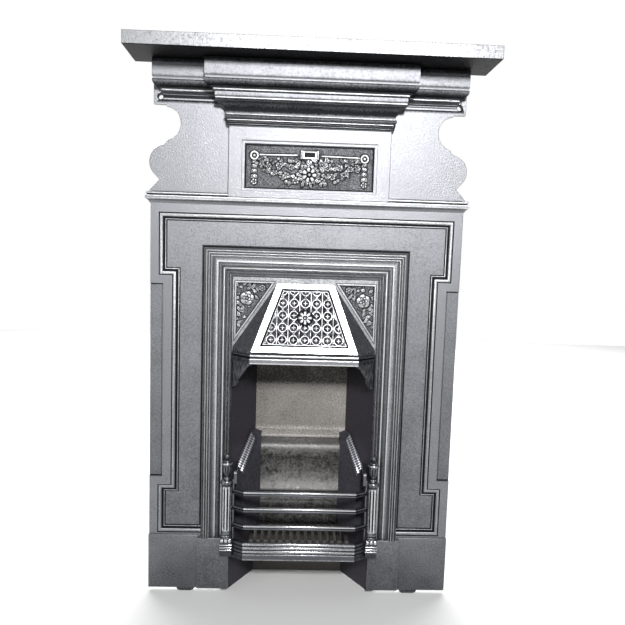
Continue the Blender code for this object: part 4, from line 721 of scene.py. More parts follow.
# painted shade: the shelf's shadow keeps the top dark, and the underside of the round and the
# crease below it are darker
shade = np.interp(upper[:, 1], [0, 8, 11, 40, 47, 50, 56, 61, 64],
                  [0.25, 0.30, 1.0, 1.0, 0.6, 0.85, 0.5, 0.2, 1.0])
worn_and_shaded = proudness(upper * DOWN, 3.5, 0.5) * shade
surround.grid(sweep(turns, upper * MM * DOWN + (0, CORNICE_TOP)), worn_and_shaded[None])
top_cover = [(-0.2475, 0.0), (-0.2475, -0.0350), (0.2475, -0.0350), (0.2475, 0.0)]
flat_face(surround, [top_cover], CORNICE_TOP - 0.001, 0.5, (0, 0, 1), across=True)
foot_cover = [(-0.221, 0.001), (-0.221, -0.0335), (0.221, -0.0335), (0.221, 0.001)]
flat_face(surround, [foot_cover], CORNICE_TOP - 0.0745, 0.35, (0, 0, -1), across=True)
print("cornice:", len(upper), "points on its upper profile")

# %% [markdown]
# The lower group is only as wide as the frieze block. Under its flat face comes a deep hollow, dark
# with paste and painted shade, then a bead and three fillets that step back to the frieze.

# %% Lower mouldings of the cornice
lower = [(-3.0, 58.0), (24.0, 58.0), (31.0, 66.5), (31.0, 82.5), (29.6, 83.8), (29.4, 86.0), (31.0, 87.4),
         (30.6, 89.8), (27.2, 92.8)]
lower += hollow_curve(26.6, 116.5, -19.6, -23.5, 6, 88, 13)
lower += [(6.6, 118.0)] + hollow_curve(6.2, 123.2, 4.2, -5.0, 10, 170, 9)
lower += [(3.0, 129.0), (3.0, 130.6)]
for k in range(3):
    drop, reach = 130.6 + 4.6 * k, 7.4 - 1.0 * k
    lower += [(reach, drop + 0.2), (reach, drop + 3.0), (2.2, drop + 3.4), (2.2, drop + 4.5)]
lower += [(0.8, 144.8), (-3.0, 145.2)]
lower = eased(lower, 0.45, 1.8)
short = [(-FRIEZE_HALF, 0.002), (-FRIEZE_HALF, FRIEZE_FACE), (FRIEZE_HALF, FRIEZE_FACE),
         (FRIEZE_HALF, 0.002)]
# painted shade: darker at the top and deep in the hollow
shade = np.interp(lower[:, 1], [58, 64, 67, 90, 93, 98, 105, 108, 113, 117],
                  [0.3, 0.5, 1.0, 1.0, 0.55, 0.40, 0.10, 0.05, 0.45, 1.0])
worn_and_shaded = proudness(lower * DOWN, 3.2, 0.55) * shade
surround.grid(sweep(short, lower * MM * DOWN + (0, CORNICE_TOP)), worn_and_shaded[None])
print("cornice:", len(lower), "points on its lower profile")

# %% [markdown]
# Each room is a short prism: its outline across the depth is stretched from one end to the other,
# and small walls close the ends. They are plain, because the wall hides them.

# %% Rooms behind the cornice
top = CORNICE_TOP - 0.008
WIDE, MIDDLE, NARROW = 0.334, 0.2375, 0.188
break_room = [(BACK, top), (-0.0535, top), (-0.0535, top - 0.034), (-0.050, top - 0.042),
              (-0.039, top - 0.051), (BACK, top - 0.051)]
bed_room = [(POCKET_Y, top - 0.046), (-0.0325, top - 0.046), (-0.0325, top - 0.079), (-0.009, top - 0.098),
            (-0.0035, top - 0.110), (POCKET_Y, top - 0.110)]
side_room = [(POCKET_Y, top - 0.0005), (-0.022, top - 0.0005), (-0.022, top - 0.0365),
             (POCKET_Y, top - 0.0365)]
for contour, reach in ((break_room, MIDDLE), (bed_room, NARROW), (side_room, WIDE)):
    sides = np.array([[(x, y, z) for y, z in contour] for x in (-reach, reach)])
    surround.grid(sides, 0.2, BEHIND)
for reach, low, front in ((MIDDLE, top - 0.051, -0.05), (WIDE, top - 0.0365, -0.022)):
    for side in (1, -1):
        end = [(side * reach, front, top), (side * reach, POCKET_Y, top), (side * reach, POCKET_Y, low),
               (side * reach, front, low)]
        surround.take(end, [(0, 1, 2, 3)], 0.2, (-side, 0, 0))
print("highest room ends at", round(top, 4), "m")

# %% [markdown]
# The body stands on plinth blocks: a wide outer one and, beside the opening, one that stands
# further forward. Under each leg a small rounded tab touches the ground. Together with the
# mouldings above they are one casting, so everything so far becomes one mesh.

# %% Plinth blocks and foot tabs
TAB_MIDDLE = 0.2875
TAB_FRONT, TAB_REAR = 0.0012, 0.0122
tab = [(0.0225, 0.012), (0.0225, 0.007), (0.0194, 0.0025), (0.0135, 0.0)]
tab = tab + [(-a, b) for a, b in reversed(tab)]
for side in (1, -1):
    soft_box(surround, (side * 0.2560, -0.0035, 0.010), (side * 0.3812, 0.0155, 0.1505), 0.0016, 0.50)
    soft_box(surround, (side * 0.1784, -0.0090, 0.0102), (side * 0.2579, 0.0150, 0.1445), 0.0016, 0.50)
    line = [(side * TAB_MIDDLE + a, b) for a, b in tab]
    around = np.array([[(x, TAB_FRONT, z), (x, TAB_REAR, z)] for x, z in line])
    surround.grid(around, 0.4, (0, 0, -1))
    flat_face(surround, [line], TAB_FRONT, 0.45)
    flat_face(surround, [line], TAB_REAR, 0.3, BEHIND)
finish_piece("surround_casting", surround, plate_iron, ["surround"])

# %% [markdown]
# ## Frieze panel
# A festoon hangs from two rings below a small tablet. Leaves lie along the swag in rows with
# flowers between them, and a large rose sits in the middle. The block's frame and the sunk ground
# are a height over x and z, and so is every leaf, so the highest one wins at each point.

# %% Ground of the frieze panel
PANEL_X, PANEL_LOW, PANEL_TOP = 0.1535, 1.0208, 1.1224
FINE = 0.0008                     # grid spacing where there is carving
fx = lines((-FRIEZE_HALF, -0.190, 0.0005), (-0.190, -0.165, 0.006), (-0.165, 0.165, FINE),
           (0.165, 0.190, 0.006), (0.190, FRIEZE_HALF, 0.0005))
fz = lines((0.9975, 1.0105, 0.004), (1.0105, 1.1325, FINE), (1.1325, 1.166, 0.006))
X, Z = np.meshgrid(fx, fz)
inside = np.minimum(PANEL_X - np.abs(X), np.minimum(Z - PANEL_LOW, PANEL_TOP - Z)) / MM
frame_shape = np.interp(inside, [-9.6, -8.7, -8.3, -1.9, -1.3, -0.5, 0.2, 0.8],
                        [0.0, -0.1, -1.3, -1.3, -1.9, -6.0, -8.6, -8.8])
print("frieze grid:", X.shape)

# %% [markdown]
# Each half of the swag is the same recipe with its own chance: a ring, a drop of leaves under it,
# 84 leaves between the swag's lower and upper line, and eight flowers. Real moulders pressed such
# leaves one by one, so no two halves are alike.

# %% Festoon
RING_X, RING_Z = 0.1325, 1.0975
LEAVES = 84
DROPS = ((0.011, 0.010, 0.0040), (0.021, 0.011, 0.0050), (0.032, 0.012, 0.0058), (0.044, 0.013, 0.0064))
FLOWERS = ((0.86, 0.0062, 0.50), (0.74, 0.0078, 0.45), (0.63, 0.0070, 0.20), (0.55, 0.0084, 0.62),
           (0.42, 0.0086, 0.25), (0.33, 0.0080, 0.66), (0.24, 0.0088, 0.14), (0.21, 0.0070, 0.88))
SWAG_TOP = 1.0915


def swag_low(share):
    """Lower line of the swag: it rises from the middle to the ring with share^1.7."""
    return 1.0290 + 0.047 * share ** 1.7


relief = np.full(X.shape, 0.0)
for s in (1, -1):
    ring = np.hypot(X - s * RING_X, Z - RING_Z)
    relief = np.maximum(relief, 4.6 * np.sqrt(np.maximum(0, 1 - ((ring - 0.0085) / 0.0032) ** 2)))
    relief = np.maximum(relief, dome(X, Z, s * RING_X, RING_Z, 0.0042, 0.0042, 4.0))
    for k, (drop, long, wide) in enumerate(DROPS):
        for turn in (-128, -90, -52):
            hanging = leaf(X, Z, s * RING_X, RING_Z - drop, long, wide * 0.75, turn, 3.6 + 0.25 * k)
            relief = np.maximum(relief, hanging)
    relief = np.maximum(relief, blossom(X, Z, s * RING_X, RING_Z - 0.0615, 0.0080, 5, 4.6, 20))
    share = rng.uniform(0, 1, LEAVES) ** 0.8 * 0.97
    top = SWAG_TOP + 0.006 * share ** 3
    low = swag_low(share)
    lift = rng.uniform(0.04, 0.96, LEAVES)
    size = (0.0085 + 0.0050 * (1 - share)) * rng.uniform(0.8, 1.2, LEAVES)
    turn = np.where(lift > 0.5, 90, -90) + rng.uniform(-75, 75, LEAVES) + s * 18
    width = size * rng.uniform(0.26, 0.40, LEAVES)
    height = rng.uniform(2.6, 5.4, LEAVES)
    spots = np.stack([s * RING_X * share, low + (top - low) * lift, size, width, turn, height], axis=1)
    relief = np.maximum(relief, foliage(X, Z, spots))
    for share, size, lift in FLOWERS:
        low = swag_low(share)
        middle = low + (SWAG_TOP - low) * lift
        petals = 5 + int(share * 10) % 2
        flower = blossom(X, Z, s * RING_X * share, middle, size, petals, 6.0, 40 * share)
        relief = np.maximum(relief, flower)
print("festoon:", round(float(relief.max()), 1), "mm high at most")

# %% [markdown]
# The middle of the swag is a rose of seven petals inside a wreath of sixteen leaves. Two cords run
# from the rings to the small tablet above it. A fine random height stands for the grain of the sand.

# %% Rose, cords and tablet
ROSE_Z = 1.0560
relief = np.maximum(relief, blossom(X, Z, 0.0, ROSE_Z, 0.0195, 7, 7.4, 10, 0.22))
around = np.radians(np.arange(-170, 171, 22.0))
round_leaves = np.stack([0.0165 * np.cos(around), ROSE_Z + 0.0150 * np.sin(around), np.full(16, 0.0125),
                         np.full(16, 0.0044), np.degrees(around), np.full(16, 4.6)], axis=1)
relief = np.maximum(relief, foliage(X, Z, round_leaves))
for s in (-1, 1):
    cord = [(s * (RING_X - 0.010), RING_Z + 0.002), (s * 0.030, RING_Z + 0.0035)]
    relief = np.maximum(relief, cord_line(X, Z, cord, 0.0022, 2.4))
tablet = np.maximum(np.abs(X) / 0.0215, np.abs(Z - 1.1020) / 0.0098)
relief = np.maximum(relief, np.interp(tablet, [0.0, 0.52, 0.60, 0.80, 0.86, 1.0, 1.06],
                            [2.2, 2.2, 5.2, 5.4, 4.2, 3.8, 0.0]))
relief = np.maximum(relief, np.where(np.abs(X) < 0.0042, 3.0, 0) * (Z > 1.070) * (Z < 1.093))
grain = 0.10 * rng.standard_normal(X.shape)
relief = np.where(inside > 0.6, np.minimum(relief + grain, 8.0), 0.0)
print("rose and tablet set; leaves round the rose:", len(around))

# %% [markdown]
# The shine of carving is its height less the mean height round it: what stands out is bright, with a
# painted highlight, and what lies low is dark with painted shade. Two reaches are added up, one for
# veins and one for whole leaves. The block's two ends are rounded off with a small radius and closed
# by a narrow skirt.

# %% Frieze mesh
END_RADIUS = 0.0012
raised = frame_shape + relief
side_drop = np.minimum(FRIEZE_HALF - np.abs(X), END_RADIUS)
rounded = np.sqrt(np.maximum(0.0, END_RADIUS ** 2 - (END_RADIUS - side_drop) ** 2))
raised = raised - 1.2 + 1000 * rounded
points = np.stack([X, FRIEZE_FACE - raised * MM, Z], axis=2)
frieze = Surfaces()
carved = relief_polish(raised, FINE, 0.0015, 0.55) + relief_polish(raised, FINE, 0.0045, 0.16) - 0.5
# painted shade: the ground next to the carving is made darker
carved = np.where(relief < 0.6, 0.42 + 0.9 * np.minimum(carved - 0.5, 0.0), 1.15 * (carved - 0.40))
shine = np.where(inside < -0.3, 0.62, carved)
frieze.grid(points, np.clip(shine, 0, 1))
for s, column in ((1, -1), (-1, 0)):
    skirt = np.stack([points[:, column], points[:, column] * (1, 0, 1) + (0, 0.001, 0)])
    frieze.grid(skirt, 0.6, (s, 0, 0))
finish_piece("frieze_panel", frieze, plate_iron, ["surround"], 50.0, weld=False)

# %% [markdown]
# ## Spandrels
# Behind the hood a thin plate fills the opening's top corners. Each corner holds a rosette, a bud
# and leaves on a sunk ground inside a plain border. The grid's inner side follows the hood's slant,
# so the band along it stays even.

# %% Spandrels
HOOD_TOP, SPANDREL_FOOT, HOOD_TOP_HALF = 0.7925, 0.632, 0.070
SPANDREL_LOW, SPANDREL_HEAD = 0.6215, 0.8115
SPANDREL_FACE, SPANDREL_REAR = 0.0108, 0.0156
ROSETTE = (OPEN_HALF - 0.0345, HOOD_TOP - 0.0375)
SPRIGS = 46
slant = np.array([HOOD_TOP_HALF - OPEN_HALF, HOOD_TOP - SPANDREL_FOOT])
slant /= np.linalg.norm(slant)
spandrels = Surfaces()
for s in (1, -1):
    sz = np.linspace(SPANDREL_LOW, SPANDREL_HEAD, 238)
    near = np.interp(sz, [SPANDREL_FOOT, HOOD_TOP], [OPEN_HALF - 0.0006, HOOD_TOP_HALF])
    near = np.where(sz > HOOD_TOP, 0.0, near)
    share = np.linspace(0, 1, 150)
    far = OPEN_HALF + 0.0027
    SX = near[:, None] + (far - near)[:, None] * share[None]
    SZ = np.repeat(sz[:, None], len(share), axis=1)
    diagonal = (SX - OPEN_HALF) * slant[1] - (SZ - SPANDREL_FOOT) * slant[0]
    inside = np.minimum(OPEN_HALF - 0.0085 - SX, HOOD_TOP - 0.0005 - SZ)
    inside = np.minimum(inside, diagonal - 0.0115) / MM
    relief = np.interp(inside, [-9, -5.6, -5.0, -4.4, -1.0, -0.2, 0.6], [0, 0, -0.9, 0, 0, -0.3, -2.4])
    motifs = np.maximum(blossom(SX, SZ, *ROSETTE, 0.0175, 5, 3.4, 12, 0.26),
                   blossom(SX, SZ, *ROSETTE, 0.0105, 5, 4.6, 48, 0.30))
    bud = blossom(SX, SZ, OPEN_HALF - 0.0715, HOOD_TOP - 0.0120, 0.0085, 6, 3.8, 0, 0.4)
    motifs = np.maximum(motifs, bud)
    drop = rng.uniform(0, 1, SPRIGS) ** 1.1
    reach = rng.uniform(0.02, 0.98, SPRIGS)
    foot_x = OPEN_HALF - 0.0105 - reach * 0.072 * (1 - drop)
    foot_z = HOOD_TOP - 0.004 - drop * 0.100
    size = rng.uniform(0.010, 0.017, SPRIGS)
    width = size * rng.uniform(0.20, 0.30, SPRIGS)
    turn = rng.uniform(-180, 180, SPRIGS)
    height = rng.uniform(1.6, 3.0, SPRIGS)
    spots = np.stack([foot_x, foot_z, size, width, turn, height], axis=1)
    away = np.hypot(SX - ROSETTE[0], SZ - ROSETTE[1])
    motifs = np.maximum(motifs, foliage(SX, SZ, spots) * (away > 0.0205))
    relief = relief + np.where(inside > 0.4, motifs + 0.05 * rng.standard_normal(SX.shape), 0.0)
    points = np.stack([s * SX, SPANDREL_FACE - relief * MM, SZ], axis=2)
    # painted shade: the border's groove and the ground between the motifs are made dark
    border = np.interp(inside, [-9.0, -5.9, -5.5, -4.5, -4.1, -1.0, -0.4, 0.2],
                       [0.7, 0.7, 0.0, 0.0, 0.8, 0.8, 0.2, 0.0])
    carved = relief_polish(relief, FINE, 0.0015, 1.10) - np.where(motifs < 0.3, 0.50, 0.16)
    shine = np.where(inside > 0.3, carved, border)
    spandrels.grid(points, np.clip(shine, 0, 1))
    back = [(s * OPEN_HALF, SPANDREL_LOW), (s * OPEN_HALF, SPANDREL_HEAD), (0.0, SPANDREL_HEAD),
            (0.0, HOOD_TOP), (s * HOOD_TOP_HALF, HOOD_TOP), (s * OPEN_HALF - s * 0.0006, SPANDREL_FOOT)]
    flat_face(spandrels, [back], SPANDREL_REAR, 0.3, BEHIND)
finish_piece("spandrel_plate", spandrels, plate_iron, ["surround"], 55.0)

# %% [markdown]
# ## Canopy hood
# The hood is a tapered canopy: a sloping front with a diaper panel, canted sides that drop in
# scallops, and a moulded lip. Its front is a height over the slope, like the frieze. U runs up the
# slope, W across it, and the grid narrows with the hood.

# %% Hood slope and its panel
LIP_HALF, LIP_Y, BREAK_Z, LIP_Z = 0.130, -0.040, 0.627, 0.597
HOOD_HEAD_Y = 0.0055
slope_foot = np.array([0.0, LIP_Y, BREAK_Z])
rise = np.array([0.0, HOOD_HEAD_Y, HOOD_TOP]) - slope_foot
slope_length = float(np.linalg.norm(rise))
rise /= slope_length
face_out = np.cross((1.0, 0.0, 0.0), rise)
FOOT_HALF, HEAD_HALF = 0.1085, 0.0580
FOOT_U, HEAD_U = 0.0150, slope_length - 0.0125
us = lines((0.0, FOOT_U - 0.004, 0.004), (FOOT_U - 0.004, HEAD_U + 0.004, FINE),
           (HEAD_U + 0.004, slope_length, 0.004))
ws = np.linspace(-1, 1, 321)
half_at = LIP_HALF + (HOOD_TOP_HALF - LIP_HALF) * us / slope_length
W = half_at[:, None] * ws[None]
U = np.repeat(us[:, None], len(ws), axis=1)
edge_half = FOOT_HALF + (HEAD_HALF - FOOT_HALF) * (U - FOOT_U) / (HEAD_U - FOOT_U)
lean = (HEAD_U - FOOT_U) / math.hypot(HEAD_U - FOOT_U, FOOT_HALF - HEAD_HALF)
inside = np.minimum(np.minimum(U - FOOT_U, HEAD_U - U), (edge_half - np.abs(W)) * lean) / MM
relief = np.interp(inside, [-1.6, -0.8, 0.0, 0.8, 4.0, 4.4, 5.0, 5.6, 6.0],
              [0.3, 0.3, -0.4, -4.4, -4.4, -2.3, -2.2, -2.2, -3.4])
print("hood slope:", round(slope_length / MM), "mm long")

# %% [markdown]
# The diaper repeats one cell: a ring with a four-pointed star, diamonds between the rings and a
# thin upright rib between the columns. Taking the remainder of U and W by the pitch puts every
# point into the same cell, so one formula draws all of them. A rosette lies over the middle.

# %% Diaper pattern and hood front
PITCH, ROW, FIRST = 0.0276, 0.0305, FOOT_U + 0.0175
RING = 0.0104
ROSETTE_RADIUS = 0.0205
column = (W / PITCH + 0.5) % 1.0 - 0.5
row = ((U - FIRST) / ROW + 0.5) % 1.0 - 0.5
dx, du = column * PITCH, row * ROW
rho = np.hypot(dx, du)
turn = np.arctan2(dx, du)
diamond = (np.abs(dx) * ROW + np.abs(du) * PITCH - PITCH * ROW / 2) / math.hypot(PITCH, ROW)
motifs = ridge(rho - RING, 0.0011, 2.0)
motifs = np.maximum(motifs, ridge(rho, 0.0012 + 0.0052 * np.abs(np.cos(2 * turn)) ** 3, 2.0))
motifs = np.maximum(motifs, ridge(PITCH / 2 - np.abs(dx), 0.0009, 1.9))
motifs = np.maximum(motifs, ridge(diamond, 0.0007, 1.8) * (rho > RING))
MID_U = (FOOT_U + HEAD_U) / 2 + 0.001
far = np.hypot(W, U - MID_U)
rose = blossom(W, U, 0.0, MID_U, 0.0188, 8, 4.4, 0, 0.22)
rose = np.maximum(rose, ridge(far - 0.0068, 0.0011, 4.6))
motifs = np.where(far < ROSETTE_RADIUS, rose, motifs)
relief = relief + np.where(inside > 6.0, motifs + 0.04 * rng.standard_normal(W.shape), 0.0)
front = slope_foot + W[..., None] * (1, 0, 0) + U[..., None] * rise + (relief * MM)[..., None] * face_out
hood = Surfaces()
# painted shade keeps the grooves of the border and the ground of the panel near black; the border's edges
# and the ribs are bright, with painted highlights
rim_shine = np.interp(inside, [-0.1, 0.3, 4.2, 4.6, 5.4, 5.9], [0.86, 0.0, 0.0, 0.8, 0.8, 0.1])
lattice = 0.12 + 0.80 * np.clip(motifs / 1.8, 0, 1) ** 1.8
carved = np.where(far < ROSETTE_RADIUS, np.clip(0.48 * motifs - 0.85, 0, 0.85), 0.88 * lattice)
shine = np.where(inside > 5.9, carved, rim_shine)
hood.grid(front, np.clip(shine, 0, 1))
print("diaper cells:", round(2 * FOOT_HALF / PITCH), "x", round((HEAD_U - FOOT_U) / ROW))

# %% [markdown]
# The sides are thin plates that run back to the surround. Their lower edge drops in scallops, given
# here as points of share and height, and their faces carry a faint curled relief. A fan of points
# joins each side to the slope's top corner.

# %% Hood sides and drops
SIDE_X, SIDE_Y, SIDE_Z = OPEN_HALF - 0.0025, 0.0095, 0.632
SIDE_WALL = 0.0058
SCALLOPS = [(0.0, 0.597), (0.04, 0.5945), (0.08, 0.5925), (0.15, 0.5915), (0.21, 0.5900), (0.26, 0.5865),
            (0.30, 0.5830), (0.37, 0.5790), (0.43, 0.5735), (0.48, 0.5700), (0.54, 0.5670), (0.59, 0.5620),
            (0.64, 0.5545), (0.67, 0.5490), (0.73, 0.5450), (0.78, 0.5410), (0.84, 0.5370), (0.90, 0.5335),
            (1.0, 0.5335)]
SHARE, EDGE_Z = np.array(SCALLOPS).T
COLUMNS, ROWS, FAN = 73, 61, 41
fine = np.linspace(0, 1, COLUMNS)
edge_z = np.interp(fine, SHARE, EDGE_Z)
head_z = BREAK_Z + (SIDE_Z - BREAK_Z) * fine
z = head_z[:, None] + (edge_z - head_z)[:, None] * np.linspace(0, 1, ROWS)[None]
curl = np.sin(z / 0.0055 + 4.0 * np.sin(fine * 9.0)[:, None]) * np.sin(fine * 31.0)[:, None]
depth = 0.30 * curl * np.clip((z - edge_z[:, None]) / 0.004, 0, 1) * np.clip(fine * 12, 0, 1)[:, None]
run_x, run_y = SIDE_X - LIP_HALF, SIDE_Y - LIP_Y
for s in (1, -1):
    flat = np.stack([s * (LIP_HALF + run_x * fine), LIP_Y + run_y * fine], axis=1)
    out = np.array([s * run_y, -run_x]) / math.hypot(run_y, run_x)
    outer_skin = np.concatenate([flat[:, None, :] + (depth * MM)[..., None] * out, z[..., None]], axis=2)
    inner_flat = np.repeat((flat - out * SIDE_WALL)[:, None, :], ROWS, axis=1)
    inner_skin = np.concatenate([inner_flat, z[..., None]], axis=2)
    hood.grid(outer_skin, np.clip(0.28 + 0.12 * curl, 0, 1), (out[0], out[1], 0))
    hood.grid(inner_skin, 0.1, (-out[0], -out[1], 0))
    hood.grid(np.stack([outer_skin[:, -1], inner_skin[:, -1]]), 0.30, (0, 0, -1))
    hood.grid(np.stack([outer_skin[-1], inner_skin[-1]]), 0.3, BEHIND)
    top_point = np.array([s * HOOD_TOP_HALF, HOOD_HEAD_Y, HOOD_TOP])
    foot_points = np.stack([flat[:, 0], flat[:, 1], head_z], axis=1)
    fan = top_point + (foot_points - top_point)[None] * np.linspace(0, 1, FAN)[:, None, None]
    hood.grid(fan, np.broadcast_to(np.where(fine < 0.012, 0.8, 0.34), (FAN, COLUMNS)), (s, -0.6, 0.4))
print("hood sides drop to", round(float(edge_z.min()), 4), "m")

# %% [markdown]
# The lip is a moulding again: a bright upright face, a hollow and a round. It is swept along the
# front edge and fades out where it turns onto the sides. Plain faces close the hood inside.

# %% Hood lip and lining
lip = [(-2.0, 0.4), (2.8, 0.4), (4.4, 2.2), (4.4, 13.0), (3.4, 14.8), (1.0, 16.4), (0.8, 18.2), (2.6, 18.8),
       (3.5, 20.4), (3.4, 22.4), (2.2, 24.2), (0.4, 25.4), (-2.0, 26.4)]
lip = eased(lip, 0.5, 1.4)
front_corner = np.array([LIP_HALF, LIP_Y])
side_end = front_corner + (np.array([SIDE_X, SIDE_Y]) - front_corner) * 0.958
turn_off = front_corner + 0.02 * (side_end - front_corner)
right_half = [tuple(front_corner), tuple(turn_off), tuple(side_end)]
lip_path = [(-x, y) for x, y in reversed(right_half)] + right_half
dim_ends = np.array([0.25, 0.25, 1.0, 1.0, 0.25, 0.25])[:, None]
worn_and_shaded = np.clip(proudness(lip, 3.2, 0.6) + 0.10, 0, 1)
hood.grid(sweep(lip_path, lip * MM + (0, LIP_Z)), worn_and_shaded[None] * dim_ends)
UNDER = LIP_Z + 0.0004
inner = [(-LIP_HALF + 0.004, LIP_Y + 0.006), (LIP_HALF - 0.004, LIP_Y + 0.006)]
hood.grid(np.array([[(x, y, z) for z in (UNDER, BREAK_Z)] for x, y in inner]), 0.1, BEHIND)
underside = [[(x, y, UNDER) for x, y in inner], [(-LIP_HALF, LIP_Y, UNDER), (LIP_HALF, LIP_Y, UNDER)]]
hood.grid(np.array(underside), 0.5, (0, 0, -1))
inside_face = slope_foot - face_out * 0.0065
lining = [[inside_face + np.array([x * f, 0, 0]) + rise * u for x in (-1, 1)]
          for f, u in ((LIP_HALF - 0.004, 0.0), (HOOD_TOP_HALF - 0.003, slope_length))]
hood.grid(np.array(lining), 0.1, BEHIND)
head = [[(-HOOD_TOP_HALF, HOOD_HEAD_Y, HOOD_TOP), (HOOD_TOP_HALF, HOOD_HEAD_Y, HOOD_TOP)], lining[1]]
hood.grid(np.array(head), 0.4, (0, 0, 1))
finish_piece("canopy_hood_cast", hood, hood_iron, ["canopy_hood"], 40.0)

# %% [markdown]
# ## Fire chamber
# The fireback is a rough casting with a rounded nose over a hollow front. Its section is drawn from
# the nose down to the grate and stretched across the chamber. Pits, as small sunk bells at random
# places, and a fine grain roughen it.

# %% Fireback
BRICK_HALF = 0.1038
BRICK_REAR, BRICK_FOOT = 0.1285, 0.1506
PITS = 420
nose = [(BRICK_REAR, 0.3812), (0.107, 0.3800), (0.0985, 0.3762)]
bullnose = np.radians(np.linspace(75, 190, 15))
nose += [(0.0905 + 0.0140 * math.cos(t), 0.3600 + 0.0145 * math.sin(t)) for t in bullnose]
nose += [(0.0790, 0.3460), (0.0808, 0.3300), (0.0832, 0.3130), (0.0845, 0.2920), (0.0838, 0.2780),
         (0.0822, 0.2660), (0.0792, 0.2535), (0.0776, 0.2475), (0.0795, 0.2430), (0.0940, 0.2370),
         (0.0955, 0.2170), (0.0880, 0.2120), (0.0845, 0.2010), (0.0860, 0.1930), (0.0940, 0.1860),
         (0.0955, BRICK_FOOT)]
nose = eased(np.array(nose) / MM, 3.0, 1.6) * MM
bx = np.linspace(-BRICK_HALF, BRICK_HALF, 131)
BX, BS = np.meshgrid(bx, np.arange(len(nose)), indexing="ij")
pits = np.zeros(BX.shape)
for _ in range(PITS):
    cx = rng.uniform(-BRICK_HALF, BRICK_HALF)
    ci = rng.uniform(0, len(nose))
    size = rng.uniform(1.2, 5.0)
    deep = rng.uniform(0.1, 0.55)
    pits -= deep * np.exp(-(((BX - cx) / (size * 0.0012)) ** 2 + ((BS - ci) / size) ** 2))
pits = pits + 0.12 * rng.standard_normal(BX.shape)
print("fireback:", PITS, "pits, the deepest", round(float(-pits.min()), 2), "mm")

# %% [markdown]
# The section is stretched across the width and the pits are taken off it, but not at the edges, so
# that the sides close on clean lines. Painted light and shade are set by height along the section.

# %% Fireback mesh
calm = np.clip((BRICK_HALF - np.abs(BX)) / 0.004, 0, 1)
calm = calm * np.clip(np.minimum(BS, len(nose) - 1 - BS) / 3, 0, 1)
height = np.broadcast_to(nose[None, :, 1], BX.shape)
surface = np.stack([BX, nose[None, :, 0] - pits * calm * MM * 0.7, height], axis=2)
# painted light: bright on the nose and on the ridge below the hollow; painted shade in between and
# towards both ends
BRIGHT_AT = [0.15, 0.20, 0.236, 0.2475, 0.262, 0.285, 0.315, 0.336, 0.352, 0.366, 0.385]
bright = np.interp(nose[:, 1], BRIGHT_AT,
                   [0.20, 0.30, 0.40, 0.90, 0.80, 0.50, 0.28, 0.14, 0.50, 0.95, 0.90])
bright = bright[None] * (0.75 + 0.25 * np.cos(BX / BRICK_HALF * 1.5))
brick = Surfaces()
brick.grid(surface, np.clip(0.06 + 0.60 * bright + 0.22 * pits, 0, 1))
for s, row_index in ((1, -1), (-1, 0)):
    ring = np.concatenate([surface[row_index], [(s * BRICK_HALF, BRICK_REAR, BRICK_FOOT)]])
    brick.take(ring, flat_ring(ring[:, 1:]), 0.2, (s, 0, 0))
ends = (-BRICK_HALF, BRICK_HALF)
rear = np.array([[(x, BRICK_REAR, BRICK_FOOT), (x, BRICK_REAR, 0.3812)] for x in ends])
brick.grid(rear, 0.2, BEHIND)
under = np.array([[(x, 0.0955, BRICK_FOOT), (x, BRICK_REAR, BRICK_FOOT)] for x in ends])
brick.grid(under, 0.2, (0, 0, -1))
finish_piece("fireback_cast", brick, brick_iron, ["back_brick"], 60.0)

# %% [markdown]
# The side bricks are thick plates between the cheeks and the fire. Their sloping tops carry rows of
# short diamond studs, four across and fifteen along, raised a little from the slope. The rest of
# each brick is a plain prism on a seven-sided outline.

# %% Side brick outline
def cheek_x(y):
    """Half width between the splayed cheeks at a depth, on a straight line from front to back."""
    return OPEN_HALF + (0.1205 - OPEN_HALF) * (y - 0.0163) / (0.129 - 0.0163)


BRICK_LOW, BRICK_HIGH, FRONT_LOW = 0.1503, 0.3985, 0.3003
PLAY = 0.0004                     # between brick and cheek
rise_z = BRICK_HIGH - FRONT_LOW
outline_right = np.array([(cheek_x(0.0425) - PLAY, 0.0425, FRONT_LOW + 0.24 * rise_z),
                          (0.1470, 0.0340, FRONT_LOW),
                          (0.1170, 0.0655, FRONT_LOW + 0.84 * rise_z),
                          (0.1043, 0.0786, FRONT_LOW + 0.86 * rise_z),
                          (0.1043, 0.1284, FRONT_LOW + 0.93 * rise_z),
                          (cheek_x(0.1284) - PLAY, 0.1284, BRICK_HIGH),
                          (cheek_x(0.1032) - PLAY, 0.1032, BRICK_HIGH - 0.015 * rise_z)])
along = np.linspace(0, 1, 180)[:, None, None]
over = np.linspace(0, 1, 34)[None, :, None]
field = np.clip((over[..., 0] - 0.08) / 0.05, 0, 1) * np.clip((0.90 - over[..., 0]) / 0.05, 0, 1)
column = np.clip(over[..., 0] - 0.06, 0, 0.86) / 0.86 * 4
row = along[..., 0] * 15 + 0.5 * (np.floor(column) % 2)
pit = np.clip(2.0 - 4.2 * (np.abs(column % 1.0 - 0.5) + np.abs(row % 1.0 - 0.5)), 0, 1)
rib = (1 - pit) * field * np.clip(np.abs(column - 2.0) / 0.16, 0.35, 1)
print("side brick studs stand", 1.8 * round(float(rib.max()), 2), "mm high")

# %% [markdown]
# Both bricks use one outline, mirrored. The studded slope is a grid between the outer and the inner
# edge, raised along its normal, and the walls below it are plain grids from foot to rim.

